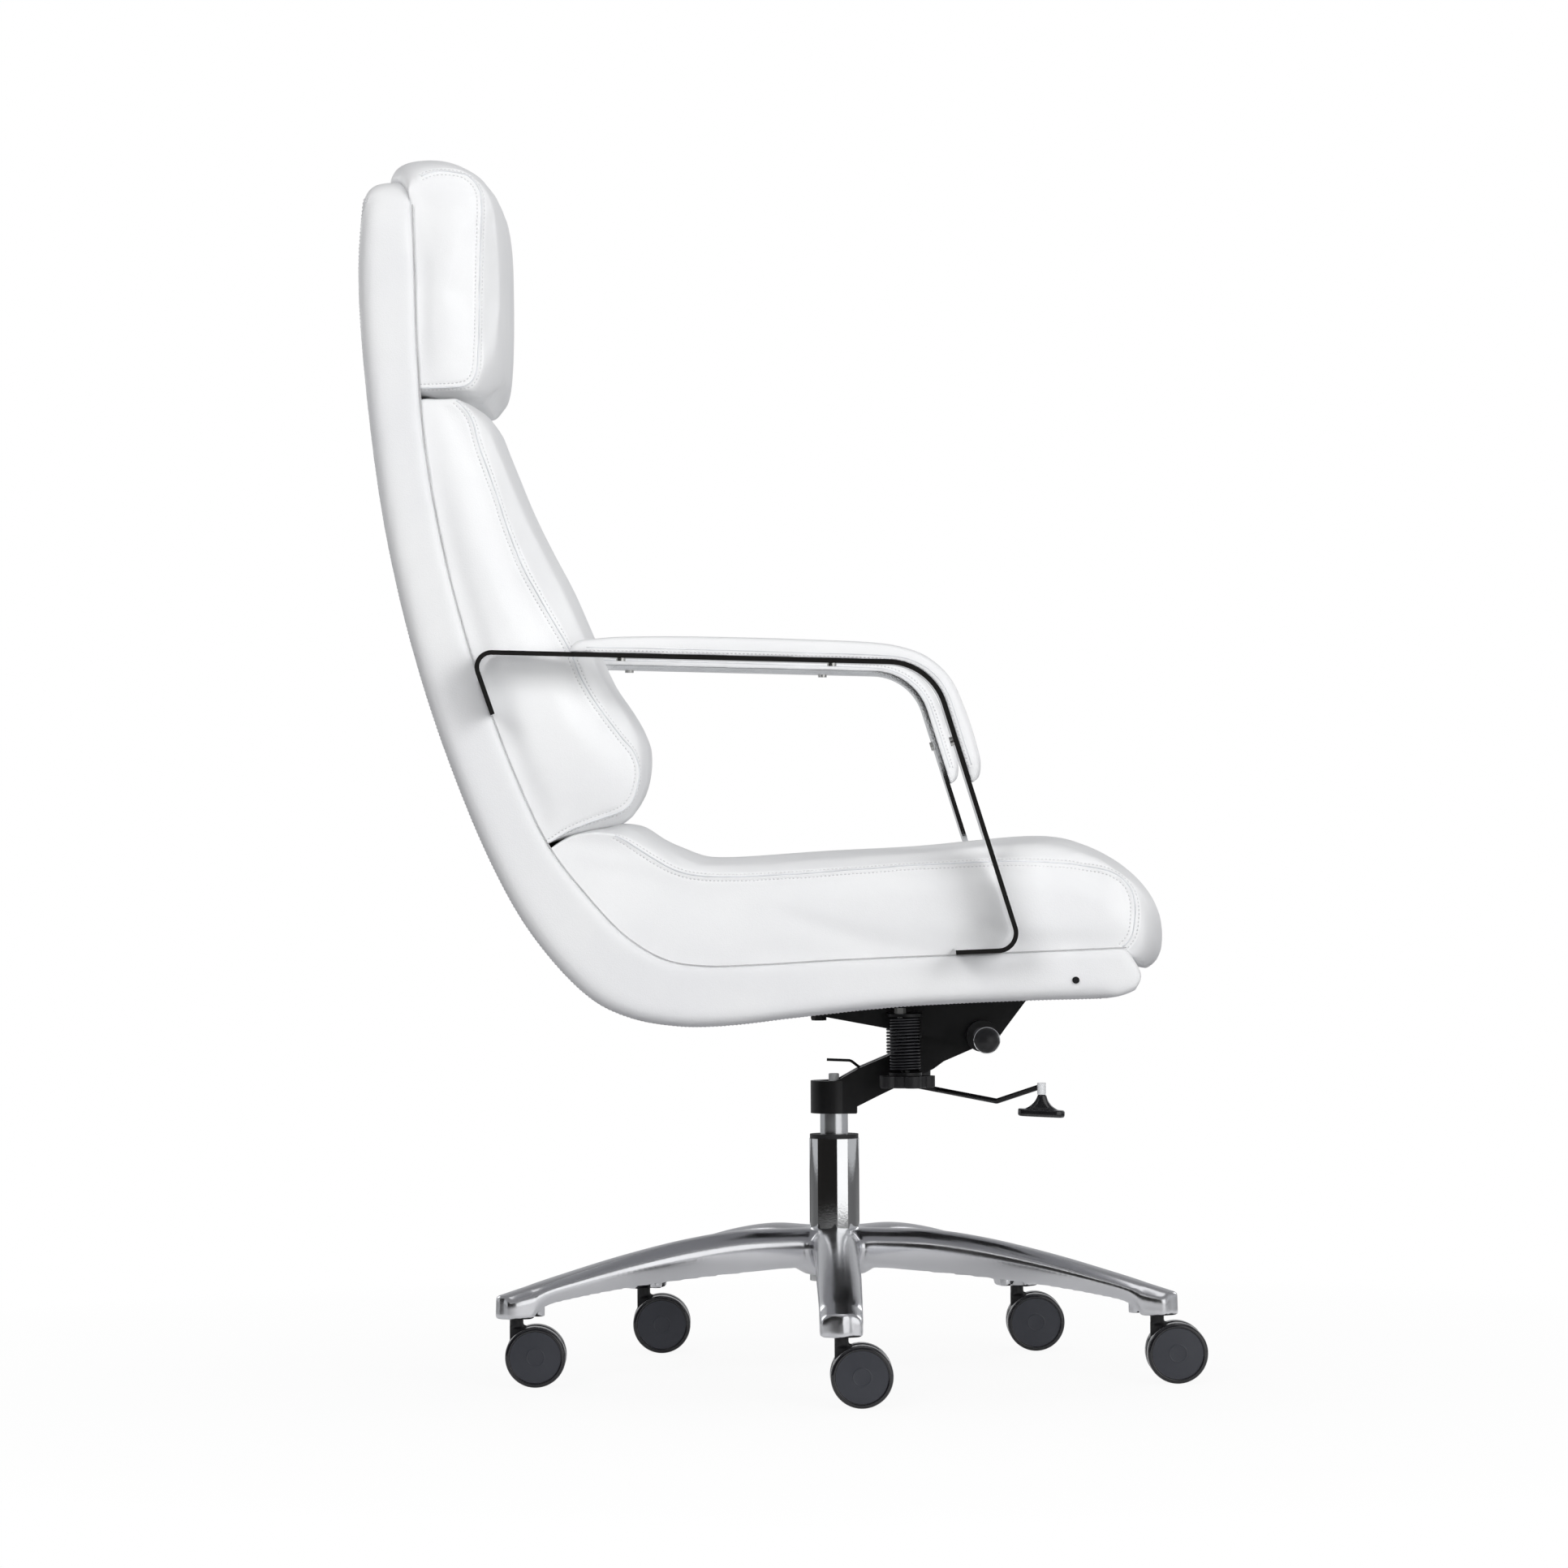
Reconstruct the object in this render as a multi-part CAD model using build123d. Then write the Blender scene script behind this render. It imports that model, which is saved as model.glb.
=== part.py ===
from build123d import *
import math
import os

# Swivel office chair with a high back. Millimetres.
# The origin is on the floor, on the swivel axis; +X points to the chair's front, +Y to its left, +Z up.
os.makedirs("parts", exist_ok=True)

RUN = 0.05  # radial clearance of a shaft or bolt in its hole
SEAM = 0.6  # gap between neighbouring upholstered pieces

# Casters and base
WHEEL_R = 30.0
WHEEL_W = 20.0
WHEEL_GAP = 9.0  # between the two wheels of one caster
TRAIL = 19.0  # axle behind the caster's swivel axis
CASTER_CIRCLE_R = 333.0
CASTER_ANGLES = [-90 + 72 * k for k in range(5)]
STEM_R = 5.5
AXLE_R = 4.0
SOCKET_Z = 70.0  # underside of the arm tips
BASE_HUB_R = 33.0
BASE_HUB_LOW = 100.0
BASE_HUB_HIGH = 147.0
ARM_SECTIONS = [  # distance from the swivel axis, top, underside, width
    (12, 148.9, 105.0, 50),
    (55, 149.2, 107.0, 48),
    (105, 147.6, 105.5, 46),
    (160, 140.0, 101.0, 45),
    (225, 125.6, 94.0, 44),
    (285, 108.6, 84.5, 43),
    (325, 95.5, 75.0, 42),
    (344, 88.5, SOCKET_Z, 40),
]

# Gas column
TUBE_R = 25.0
TUBE_WALL = 2.5
TUBE_LOW = 95.0
TUBE_HIGH = 237.6
COLLAR_HIGH = 242.0
CYLINDER_R = 14.0
CYLINDER_LOW = 109.0
CYLINDER_HIGH = 294.0
CHAMBER_R = 11.5
ROD_R = 5.0
BUTTON_R = 5.25
BUTTON_HIGH = 302.7

# Tilt mechanism
PIVOT_X, PIVOT_Z = 147.5, 341.0
SHAFT_R = 7.0
LOCK_ROD_R = 4.0
HUB_R = 23.5
HUB_LOW, HUB_HIGH = 263.0, 295.6
ARM_HALF_W = 22.0
ARM_WALL = 4.0
EAR_Y = 32.0  # inner face of the seat plate's flanges
EAR_T = 3.5
BOSS_R = 15.8
BOSS_Y = 48.0
SPRING_X, SPRING_Y = 70.0, 66.0
SPRING_R = 15.5
SPRING_WIRE_R = 1.4
SPRING_TURNS = 13
SHELF_LOW, SHELF_HIGH = 303.0, 306.0
SADDLE_LOW, SADDLE_HIGH = 361.5, 364.5
STUD_R = 4.0
KNOB_R = 29.5
LEVER_X, LEVER_Z = 58.0, 296.0
LEVER_R = 2.65
PADDLE_X, PADDLE_Y = 199.8, -176.0
PLATE_T = 3.5
PLATE_HALF_W = 75.0
PLATE_BOLTS = [(-15.0, 362.0, 416.0), (175.0, 374.5, 424.0)]  # x, top of the head, end of the shank
PLATE_BOLT_Y = 21.0

# Seat shell and cushions
SEAT_HALF_W = 250.0
TOP_HALF_W = 228.0
SHELL_TOP = 1183.5
BOARD_T = 12.0
BOARD_HALF_W = 225.0
SIDE_STUD_X, SIDE_STUD_Z = 229.7, 402.4

# Arms: a flat chrome band bent in the XZ plane, and a leather pad over its top and front
BAND_Y = 278.0  # middle of the band
BAND_W = 50.0
BAND_T = 4.5
BAND_CORNERS = [(-330.0, 661.0), (-350.6, 721.0), (90.0, 708.3), (175.5, 433.2), (112.0, 430.9)]
BAND_BENDS = [14.0, 57.0, 17.0]
TAB_INNER_Y = 203.0  # the feet reach this far in, between shell and cushions
PAD_W = 54.0

# Side outlines as x, z. The shell's back and underside, and the seam where the cushions meet it:
SHELL_BACK = [
    (-456.7, 1165), (-461, 1090), (-453.7, 976), (-432.4, 824), (-393.7, 672), (-335.4, 520),
    (-292.3, 444.5), (-239, 387), (-201, 368), (-151, 359.3), (-104, 360.2), (-41, 367.2),
    (57, 377), (184, 382.6), (255, 384.2),
]
SEAM_LINE = [
    (-409, 1166), (-406.5, 1090), (-404, 1010), (-397, 922), (-381, 829), (-359, 741), (-333, 661),
    (-308, 596), (-279, 535), (-247, 492), (-205, 447), (-167, 424), (-130, 417.5), (-77, 418.5),
    (8, 423), (161, 428.5), (279, 433),
]
SHELL_NOSE = [(255, 384.2), (293, 394), (297, 403.5), (279, 433)]


def save(node, *solids):
    """Write one node; identical pieces share it as separate solids."""
    shape = solids[0] if len(solids) == 1 else Compound(children=[s for s in solids])
    export_step(shape, f"parts/{node}.step")


def side_face(*edges):
    """A closed outline given as x, z, standing in the XZ plane."""
    return Plane.XZ * make_face(list(edges))


def slab(face, half_width, y=0.0):
    """A side face made solid to half_width on both sides of y."""
    return Pos(0, y, 0) * extrude(face, half_width, both=True)


def upright(x, y, low, high, r):
    return Pos(x, y, (low + high) / 2) * Cylinder(r, high - low)


def crosswise(x, z, y0, y1, r):
    return Pos(x, (y0 + y1) / 2, z) * Rot(90, 0, 0) * Cylinder(r, abs(y1 - y0))


def block(x0, x1, y0, y1, z0, z1):
    return Pos((x0 + x1) / 2, (y0 + y1) / 2, (z0 + z1) / 2) * Box(x1 - x0, y1 - y0, z1 - z0)


def hexagon(x, y, low, high, across):
    return Pos(x, y, low) * extrude(RegularPolygon(across / math.sqrt(3), 6), high - low)


def both_sides(shape):
    return [shape, mirror(shape, about=Plane.XZ)]


def rod_along(path, radius):
    """A round bar that follows a path."""
    return sweep(Plane(origin=path @ 0, z_dir=path % 0) * Circle(radius), path=path)


def shifted(points, distance):
    """The same line of points, moved sideways; positive is to the right of its direction."""
    moved = []
    for i, (x, z) in enumerate(points):
        x0, z0 = points[max(i - 1, 0)]
        x1, z1 = points[min(i + 1, len(points) - 1)]
        length = math.hypot(x1 - x0, z1 - z0)
        moved.append((x + distance * (z1 - z0) / length, z - distance * (x1 - x0) / length))
    return moved


def on_line(a, b, share):
    return (a[0] + (b[0] - a[0]) * share, a[1] + (b[1] - a[1]) * share)


# ---------------------------------------------------------------- base and casters

def base_arm(inset):
    """One arm of the star along +X; inset shrinks it to the hollow underneath."""
    sections = []
    for r, top, low, width in ARM_SECTIONS:
        if inset and not 40 < r < 330:
            continue
        z0 = low - inset
        z1 = top - inset
        place = Plane(origin=(r, 0, (z0 + z1) / 2), x_dir=(0, 1, 0), z_dir=(1, 0, 0))
        corner = 0.4 * min(width - 2 * inset, z1 - z0)
        sections.append(place * RectangleRounded(width - 2 * inset, z1 - z0, corner))
    return loft(sections)


def make_base():
    tip = upright(CASTER_CIRCLE_R, 0, SOCKET_Z, 90, 20) + upright(343, 0, SOCKET_Z, 84, 12)
    arm = base_arm(0) - base_arm(5.0) + tip
    star = upright(0, 0, BASE_HUB_LOW, BASE_HUB_HIGH, BASE_HUB_R)
    for angle in CASTER_ANGLES:
        star += Rot(0, 0, angle) * arm
    star -= upright(0, 0, 80, 170, TUBE_R + RUN)
    for x, y in caster_places():
        star -= upright(x, y, 60, 82, STEM_R + RUN)
    save("five_star_base", star)


def caster_places():
    return [
        (CASTER_CIRCLE_R * math.cos(math.radians(a)), CASTER_CIRCLE_R * math.sin(math.radians(a)))
        for a in CASTER_ANGLES
    ]


def caster_frame():
    """Plastic disc between the wheels, with a neck up to the stem."""
    disc = crosswise(TRAIL, WHEEL_R, -4, 4, 26.5)
    neck = upright(0, 0, 59.5, 69, 6.8) + block(-6.8, 12, -4, 4, 30, 60)
    bore = upright(0, 0, 58, 70, STEM_R + RUN)
    return disc + neck - bore - crosswise(TRAIL, WHEEL_R, -5, 5, AXLE_R + RUN)


def caster_pins():
    """Steel stem, and the axle."""
    stem = upright(0, 0, 58, 81, STEM_R)
    axle = crosswise(TRAIL, WHEEL_R, -WHEEL_GAP / 2 - 14, WHEEL_GAP / 2 + 14, AXLE_R)
    return stem, axle


def caster_wheel(side):
    """One wheel: rounded tread, recessed outer face with a raised ring, blind bore for the axle."""
    inner = side * WHEEL_GAP / 2
    outer = side * (WHEEL_GAP / 2 + WHEEL_W)
    disc = crosswise(TRAIL, WHEEL_R, inner, outer, WHEEL_R)
    disc = fillet(disc.edges().filter_by(GeomType.CIRCLE), 3.0)
    disc -= crosswise(TRAIL, WHEEL_R, outer - side * 1.2, outer, 25.5)
    disc += crosswise(TRAIL, WHEEL_R, outer - side * 1.3, outer - side * 0.6, 9.0)
    disc -= crosswise(TRAIL, WHEEL_R, outer - side * 1.2, outer, 7.8)
    hollow = crosswise(TRAIL, WHEEL_R, inner, inner + side * 12, 24)
    hollow -= crosswise(TRAIL, WHEEL_R, inner, inner + side * 12, 9)
    bore = crosswise(TRAIL, WHEEL_R, inner, inner + side * 14.5, AXLE_R + RUN)
    return disc - hollow - bore


def make_casters():
    frame = caster_frame()
    stem, axle = caster_pins()
    right = caster_wheel(-1)
    left = caster_wheel(1)
    for number, (x, y) in enumerate(caster_places(), start=1):
        place = Pos(x, y, 0)
        save(f"caster_frame_{number}", place * frame)
        save(f"caster_pins_{number}", place * stem, place * axle)
        save(f"caster_wheel_right_{number}", place * right)
        save(f"caster_wheel_left_{number}", place * left)


# ---------------------------------------------------------------- gas column

def make_column():
    bore_r = TUBE_R - TUBE_WALL
    fit_r = bore_r - RUN
    tube = upright(0, 0, TUBE_LOW, TUBE_HIGH, TUBE_R) - upright(0, 0, TUBE_LOW, TUBE_HIGH, bore_r)
    save("column_tube", tube)

    bush = upright(0, 0, 165, TUBE_HIGH, fit_r) + upright(0, 0, TUBE_HIGH, COLLAR_HIGH, TUBE_R - 0.6)
    save("column_guide_bush", bush - upright(0, 0, 160, COLLAR_HIGH, CYLINDER_R + RUN))
    save("column_base_plate", upright(0, 0, 97, 101, fit_r) - upright(0, 0, 97, 101, ROD_R + RUN))

    rod = upright(0, 0, 93.5, 236, ROD_R) - upright(0, 0, 94.6, 96.0, ROD_R)
    rod += upright(0, 0, 94.6, 96.0, ROD_R - 1)
    save("piston_rod", rod + upright(0, 0, 236, 246, CHAMBER_R - 0.08))
    save("rod_retaining_clip", upright(0, 0, 94.7, 95.9, 9) - upright(0, 0, 94, 97, ROD_R - 1 + RUN))
    save("thrust_bearing", upright(0, 0, 101, 105, 11) - upright(0, 0, 101, 105, ROD_R + RUN))
    save("rubber_buffer", upright(0, 0, 105, 108.8, 12) - upright(0, 0, 105, 109, ROD_R + RUN))

    cylinder = upright(0, 0, CYLINDER_LOW, CYLINDER_HIGH, CYLINDER_R)
    cylinder -= upright(0, 0, 116, 268, CHAMBER_R)
    cylinder -= upright(0, 0, CYLINDER_LOW, 116, ROD_R + RUN)
    cylinder -= upright(0, 0, 276, CYLINDER_HIGH, BUTTON_R + RUN)
    save("gas_cylinder", cylinder)

    button = upright(0, 0, 281, BUTTON_HIGH, BUTTON_R)
    save("release_button", fillet(button.edges().group_by(Axis.Z)[-1], 1.0))


# ---------------------------------------------------------------- tilt mechanism

def make_tilt_arm():
    """Hub on the gas cylinder, hollow arm up to the pivot, and the shelf under both springs."""
    outline = Polyline(
        (0, HUB_HIGH), (5.5, 297.6), (25.8, 308.9), (54.3, 320.9), (95, 343), (PIVOT_X, 353.5),
        (157, 341), (PIVOT_X, 328.5), (139.7, 327.7), (110, 315), (99.8, 307.6), (65.5, 290.8),
        (46.8, 282), (22.4, 269.9), (22.4, HUB_LOW), (0, HUB_LOW), (0, HUB_HIGH),
    )
    body = slab(side_face(outline), ARM_HALF_W)
    cavity = slab(Plane.XZ * offset(make_face(outline), -ARM_WALL), ARM_HALF_W - ARM_WALL)
    body -= cavity & block(27, 132, -30, 30, 260, 360)
    body += upright(0, 0, HUB_LOW, HUB_HIGH, HUB_R)
    body += crosswise(PIVOT_X, PIVOT_Z, -EAR_Y + 1, EAR_Y - 1, 13)
    body += block(SPRING_X - 14, SPRING_X + 14, -SPRING_Y, SPRING_Y, SHELF_LOW, SHELF_HIGH)
    for y in (-SPRING_Y, SPRING_Y):
        body += upright(SPRING_X, y, SHELF_LOW, SHELF_HIGH, SPRING_R + 1)
        body -= upright(SPRING_X, y, SHELF_LOW - 5, SHELF_HIGH + 5, STUD_R + RUN)
    body -= block(8, 68, -4, 4, 298, 335)  # slot for the release tongue
    body -= upright(0, 0, HUB_LOW - 5, 305, CYLINDER_R + RUN)
    body -= crosswise(PIVOT_X, PIVOT_Z, -40, 40, SHAFT_R + 0.02)
    body -= crosswise(LEVER_X, LEVER_Z, -40, 40, LEVER_R + RUN)
    save("tilt_arm", body)


def make_pivot():
    shaft = crosswise(PIVOT_X, PIVOT_Z, -BOSS_Y - 2, BOSS_Y + 2, SHAFT_R)
    save("pivot_shaft", shaft - crosswise(PIVOT_X, PIVOT_Z, -60, 60, LOCK_ROD_R + RUN))
    bush = crosswise(PIVOT_X, PIVOT_Z, -BOSS_Y, -EAR_Y, SHAFT_R + 2)
    bush -= crosswise(PIVOT_X, PIVOT_Z, -60, 0, SHAFT_R + RUN)
    save("pivot_bushes", *both_sides(bush))


def make_tilt_lock():
    """Push-pull knob on the pivot's axis; its rod slides in the hollow shaft."""
    save("tilt_lock_rod", crosswise(PIVOT_X, PIVOT_Z, -146, 20, LOCK_ROD_R))
    collar = crosswise(PIVOT_X, PIVOT_Z, -156, -146.2, 13.2)
    save("tilt_lock_collar", fillet(collar.edges().filter_by(GeomType.CIRCLE), 1.5))
    dome = Pos(PIVOT_X, -156.2, PIVOT_Z) * Sphere(12.4)
    dome = dome & block(PIVOT_X - 20, PIVOT_X + 20, -190, -156.2, PIVOT_Z - 20, PIVOT_Z + 20)
    save("tilt_lock_knob", dome)


def make_springs():
    height = SADDLE_LOW - SHELF_HIGH - 2 * SPRING_WIRE_R - 0.4
    coil = Helix(height / SPRING_TURNS, height, SPRING_R - SPRING_WIRE_R)
    wire = sweep(
        Plane(origin=coil @ 0, z_dir=coil % 0) * Circle(SPRING_WIRE_R), path=coil, is_frenet=True
    )
    low = SHELF_HIGH + SPRING_WIRE_R + 0.2
    save("tension_springs", *[Pos(SPRING_X, y, low) * wire for y in (-SPRING_Y, SPRING_Y)])

    stud = upright(SPRING_X, -SPRING_Y, 291.5, 330, STUD_R)
    save("spring_guide_studs", *both_sides(stud))

    bolt = upright(SPRING_X - 5, -SPRING_Y, 355, SADDLE_HIGH, 3) + hexagon(
        SPRING_X - 5, -SPRING_Y, SADDLE_HIGH, 370, 10
    )
    save("spring_saddle_bolts", *both_sides(bolt))


def make_tension_knobs():
    """Lobed hand knob under each spring."""
    lobes = 5
    plan = Circle(KNOB_R - 7)
    for k in range(lobes):
        plan += Rot(0, 0, 360 / lobes * k) * Pos(KNOB_R - 9, 0) * Circle(9)
    knob = extrude(plan, SHELF_LOW - 0.3 - 291)
    knob = fillet(knob.edges().group_by(Axis.Z)[0], 1.5)
    knob -= Cylinder(STUD_R + RUN, 60)
    knob = Pos(SPRING_X, -SPRING_Y, 291) * knob
    for name, piece in zip(("right", "left"), both_sides(knob)):
        save(f"tension_knob_{name}", piece)


def make_gas_lever():
    path = FilletPolyline(
        (LEVER_X, 24, LEVER_Z), (LEVER_X, -30, LEVER_Z), (104, -30, 286.8), (158.5, -118, 279.5),
        (197, -172, 295.5), radius=7,
    )
    save("gas_lever_rod", rod_along(path, LEVER_R))
    save("lever_ferrule", upright(PADDLE_X, PADDLE_Y, 288.6, 300, 4.2))
    bar = Pos(PADDLE_X, PADDLE_Y, 266.8) * extrude(RectangleRounded(45.8, 20, 8), 7.2)
    neck = loft([
        Pos(PADDLE_X, PADDLE_Y, 273.5) * RectangleRounded(36, 13, 6),
        Pos(PADDLE_X, PADDLE_Y, 281.0) * RectangleRounded(15, 10, 4.5),
        Pos(PADDLE_X, PADDLE_Y, 288.5) * RectangleRounded(8.6, 8.4, 4),
    ])
    save("lever_paddle", fillet(bar.edges().group_by(Axis.Z)[0], 2) + neck)
    tongue = FilletPolyline(
        (55.4, 0, 297.1), (40, 0, 303.5), (26, 0, 308.5), (17, 0, 315.5), (-7, 0, 316.5), radius=7
    )
    save("release_tongue", rod_along(tongue, 1.4))


def make_seat_plate(shell):
    """Plate under the shell with a flange each side, pivot bosses and a saddle over each spring."""
    under = shifted([(-45, 366.6), (57, 377), (184, 382.6), (197, 382.9)], PLATE_T)
    top = [(200, 400), (-50, 400)]
    plate = slab(side_face(Polyline(*under, *top, under[0])), PLATE_HALF_W)
    flange_outline = Polyline(
        (-38, 366), (54, 348.5), (84, 342), (118, 335), (134, 331), (161, 334), (171, 348), (193, 377),
        (193, 400), (-38, 400), (-38, 366),
    )
    flange = slab(side_face(flange_outline), EAR_T / 2, -EAR_Y - EAR_T / 2)
    side = flange + crosswise(PIVOT_X, PIVOT_Z, -BOSS_Y, -EAR_Y, BOSS_R)
    side += block(SPRING_X - 18, SPRING_X + 18, -SPRING_Y, -EAR_Y, SADDLE_LOW, SADDLE_HIGH)
    side += upright(SPRING_X, -SPRING_Y, SADDLE_LOW, SADDLE_HIGH, 18)
    side -= upright(SPRING_X - 5, -SPRING_Y, 350, SADDLE_HIGH, 3 + RUN)
    side -= crosswise(PIVOT_X, PIVOT_Z, -60, 0, SHAFT_R + 2)
    for piece in both_sides(side):
        plate += piece
    plate -= shell
    for hole in plate_bolt_shanks(RUN):
        plate -= hole
    save("seat_plate", plate)


def plate_bolt_shanks(clearance):
    return [
        upright(x, y, head_top, end + clearance, STUD_R + clearance)
        for x, head_top, end in PLATE_BOLTS
        for y in (-PLATE_BOLT_Y, PLATE_BOLT_Y)
    ]


def make_plate_bolts():
    bolts = []
    for x, head_top, end in PLATE_BOLTS:
        for y in (-PLATE_BOLT_Y, PLATE_BOLT_Y):
            bolts.append(hexagon(x, y, head_top - 5.3, head_top, 13) + upright(x, y, head_top, end, STUD_R))
    save("seat_plate_bolts", *bolts)


# ---------------------------------------------------------------- shell and cushions

def front_outline(narrower, top):
    """The chair's front view: straight sides low down, narrowing upwards, rounded top corners."""
    wide = SEAT_HALF_W - narrower
    slim = TOP_HALF_W - narrower
    corner = 55.0
    right = [(wide, 300), (wide, 640), (slim + 4, 1000), (slim, top - corner)]
    flat = slim - corner
    bend = (slim - 0.29 * corner, top - 0.29 * corner)
    edges = [
        Line(right[0], right[1]),
        Spline(right[1], right[2], right[3]),
        ThreePointArc(right[3], bend, (flat, top)),
        Line((flat, top), (-flat, top)),
        ThreePointArc((-flat, top), (-bend[0], bend[1]), (-right[3][0], right[3][1])),
        Spline((-right[3][0], right[3][1]), (-right[2][0], right[2][1]), (-wide, 640)),
        Line((-wide, 640), (-wide, 300)),
        Line((-wide, 300), (wide, 300)),
    ]
    return extrude(Plane.YZ * make_face(edges), 600, both=True)


def make_shell():
    outline = side_face(
        Spline(*SHELL_BACK),
        Polyline(*SHELL_NOSE),
        Spline(*reversed(SEAM_LINE)),
        Spline(SEAM_LINE[0], (-410, 1178), (-431, SHELL_TOP), (-449, 1180), SHELL_BACK[0]),
    )
    shell = slab(outline, SEAT_HALF_W) & front_outline(0, SHELL_TOP + 1)
    board_line = SEAM_LINE[1:-1]
    board = slab(ribbon(board_line, shifted(board_line, BOARD_T)), BOARD_HALF_W) & front_outline(22, 1150)
    pocket = slab(ribbon(shifted(board_line, -3), shifted(board_line, BOARD_T + 0.2)), BOARD_HALF_W + 0.2)
    shell -= pocket & front_outline(21.8, 1150.2)
    return shell, board


def ribbon(line_a, line_b):
    return side_face(
        Spline(*line_a), Line(line_a[-1], line_b[-1]), Spline(*reversed(line_b)), Line(line_b[0], line_a[0])
    )


def make_cushions(shell, board):
    seam = shifted(SEAM_LINE, -SEAM)  # the cushions' rear and lower face
    headrest = side_face(
        Spline(*[p for p in seam if p[1] > 1000], (-403.0, 973)),
        Line((-403.0, 973), (-366, 973)),
        Spline((-366, 973), (-350, 966), (-336.5, 959)),
        Spline((-336.5, 959), (-325, 982), (-319.6, 1020), (-319.5, 1127), (-324, 1153), (-337, 1187),
               (-354, 1205), (-380, 1212), (-406, 1213), (-428, 1205), (-440, 1186)),
        Polyline((-440, 1186), (-420, 1186), seam[0]),
    )
    back = side_face(
        Spline((-402.4, 971.5), *[p for p in seam if 540 < p[1] < 940], (-279.5, 537)),
        Spline((-279.5, 537), (-256, 551), (-232, 555), (-198, 555)),
        Spline((-198, 555), (-184, 577), (-178, 608), (-190, 648), (-218, 692), (-260, 789), (-299, 866),
               (-327, 934), (-337.5, 957)),
        Spline((-337.5, 957), (-351, 964.5), (-366, 971.5)),
        Line((-366, 971.5), (-402.4, 971.5)),
    )
    low = [p for p in seam if p[1] < 535]
    seat = side_face(
        Spline((-278, 535.5), *low[:-1], (278, 433.7)),
        Spline((278, 433.7), (296, 413), (300, 403)),
        Spline((300, 403), (316, 408.5), (327, 424), (329, 447), (321, 478), (306, 498), (285, 516),
               (258, 529.5), (221, 538.5), (164, 536.5), (91, 529.6), (-5, 525), (-100, 519.5),
               (-143, 526), (-170, 539), (-198, 553.5)),
        Spline((-198, 553.5), (-232, 553.5), (-256, 549.5), (-278, 535.5)),
    )
    cut = front_outline(4, 1214)
    headrest = slab(headrest, SEAT_HALF_W) & cut
    back = slab(back, SEAT_HALF_W - 4) & cut
    seat = slab(seat, SEAT_HALF_W - 4)
    for name, solid in (("headrest_cushion", headrest), ("back_cushion", back), ("seat_cushion", seat)):
        save(name, solid - foot_pockets() - shell - board)


# ---------------------------------------------------------------- arms

def band_path(corners, bends):
    return FilletPolyline(*[(x, 0, z) for x, z in corners], radius=bends)


def flat_bar(path, width, thickness, y):
    section = Plane(origin=path @ 0, x_dir=(0, 1, 0), z_dir=path % 0) * Rectangle(width, thickness)
    return Pos(0, y, 0) * sweep(section, path=path)


def foot_lines():
    """The two straight feet of a band, each from its end towards the first bend."""
    rear_end, rear_bend = BAND_CORNERS[0], BAND_CORNERS[1]
    front_end, front_bend = BAND_CORNERS[-1], BAND_CORNERS[-2]
    return [(rear_end, on_line(rear_end, rear_bend, 0.58)), (front_end, on_line(front_end, front_bend, 0.72))]


def foot_bolt_places():
    """Planes on the upper face of the feet, z pointing into the shell, for one side (-Y)."""
    places = []
    for (start, end), turn in zip(foot_lines(), (1, -1)):
        length = math.hypot(end[0] - start[0], end[1] - start[1])
        into = (-turn * (end[1] - start[1]) / length, turn * (end[0] - start[0]) / length)
        for share in (0.25, 0.78):
            x, z = on_line(start, end, share)
            skin = (x - into[0] * BAND_T / 2, -216, z - into[1] * BAND_T / 2)
            places.append(Plane(origin=skin, x_dir=(0, 1, 0), z_dir=(into[0], 0, into[1])))
    return places


def pin(place, start, end, radius):
    """A cylinder along a plane's z axis, from start to end."""
    return place * Pos(0, 0, (start + end) / 2) * Cylinder(radius, end - start)


def foot_pockets():
    """Room for the feet and their bolt heads in the cushions, on both sides."""
    pockets = []
    for start, end in foot_lines():
        line = Line((start[0], 0, start[1]), (end[0], 0, end[1]))
        ends = [crosswise(x, z, -270, -200, 8) for x, z in (start, end)]
        pockets += [flat_bar(line, 70, 16, -235), *ends]
    one_side = pockets[0]
    for piece in pockets[1:]:
        one_side += piece
    return one_side + mirror(one_side, about=Plane.XZ)


def pad_screw_places():
    """Planes on the underside of the band, z pointing out into the pad, for one side (-Y)."""
    top_a, top_b, leg_b = BAND_CORNERS[1], BAND_CORNERS[2], BAND_CORNERS[3]
    spots = [(top_a, top_b, 0.325), (top_a, top_b, 0.785), (top_b, leg_b, 0.27)]
    places = []
    for a, b, share in spots:
        x, z = on_line(a, b, share)
        length = math.hypot(b[0] - a[0], b[1] - a[1])
        out = (-(b[1] - a[1]) / length, (b[0] - a[0]) / length)
        under = (x - out[0] * BAND_T / 2, -BAND_Y, z - out[1] * BAND_T / 2)
        places.append(Plane(origin=under, x_dir=(0, 1, 0), z_dir=(out[0], 0, out[1])))
    return places


def outside(corners, distance):
    """A line of corners moved outwards by the same distance along every stretch."""
    moved = []
    for i, (x, z) in enumerate(corners):
        sides = []
        for a, b in ((i - 1, i), (i, i + 1)):
            if 0 <= a and b < len(corners):
                dx, dz = corners[b][0] - corners[a][0], corners[b][1] - corners[a][1]
                length = math.hypot(dx, dz)
                sides.append((-dz / length, dx / length))
        nx, nz = sum(s[0] for s in sides), sum(s[1] for s in sides)
        scale = distance * len(sides) / (nx * nx + nz * nz)
        moved.append((x + nx * scale, z + nz * scale))
    return moved


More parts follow.
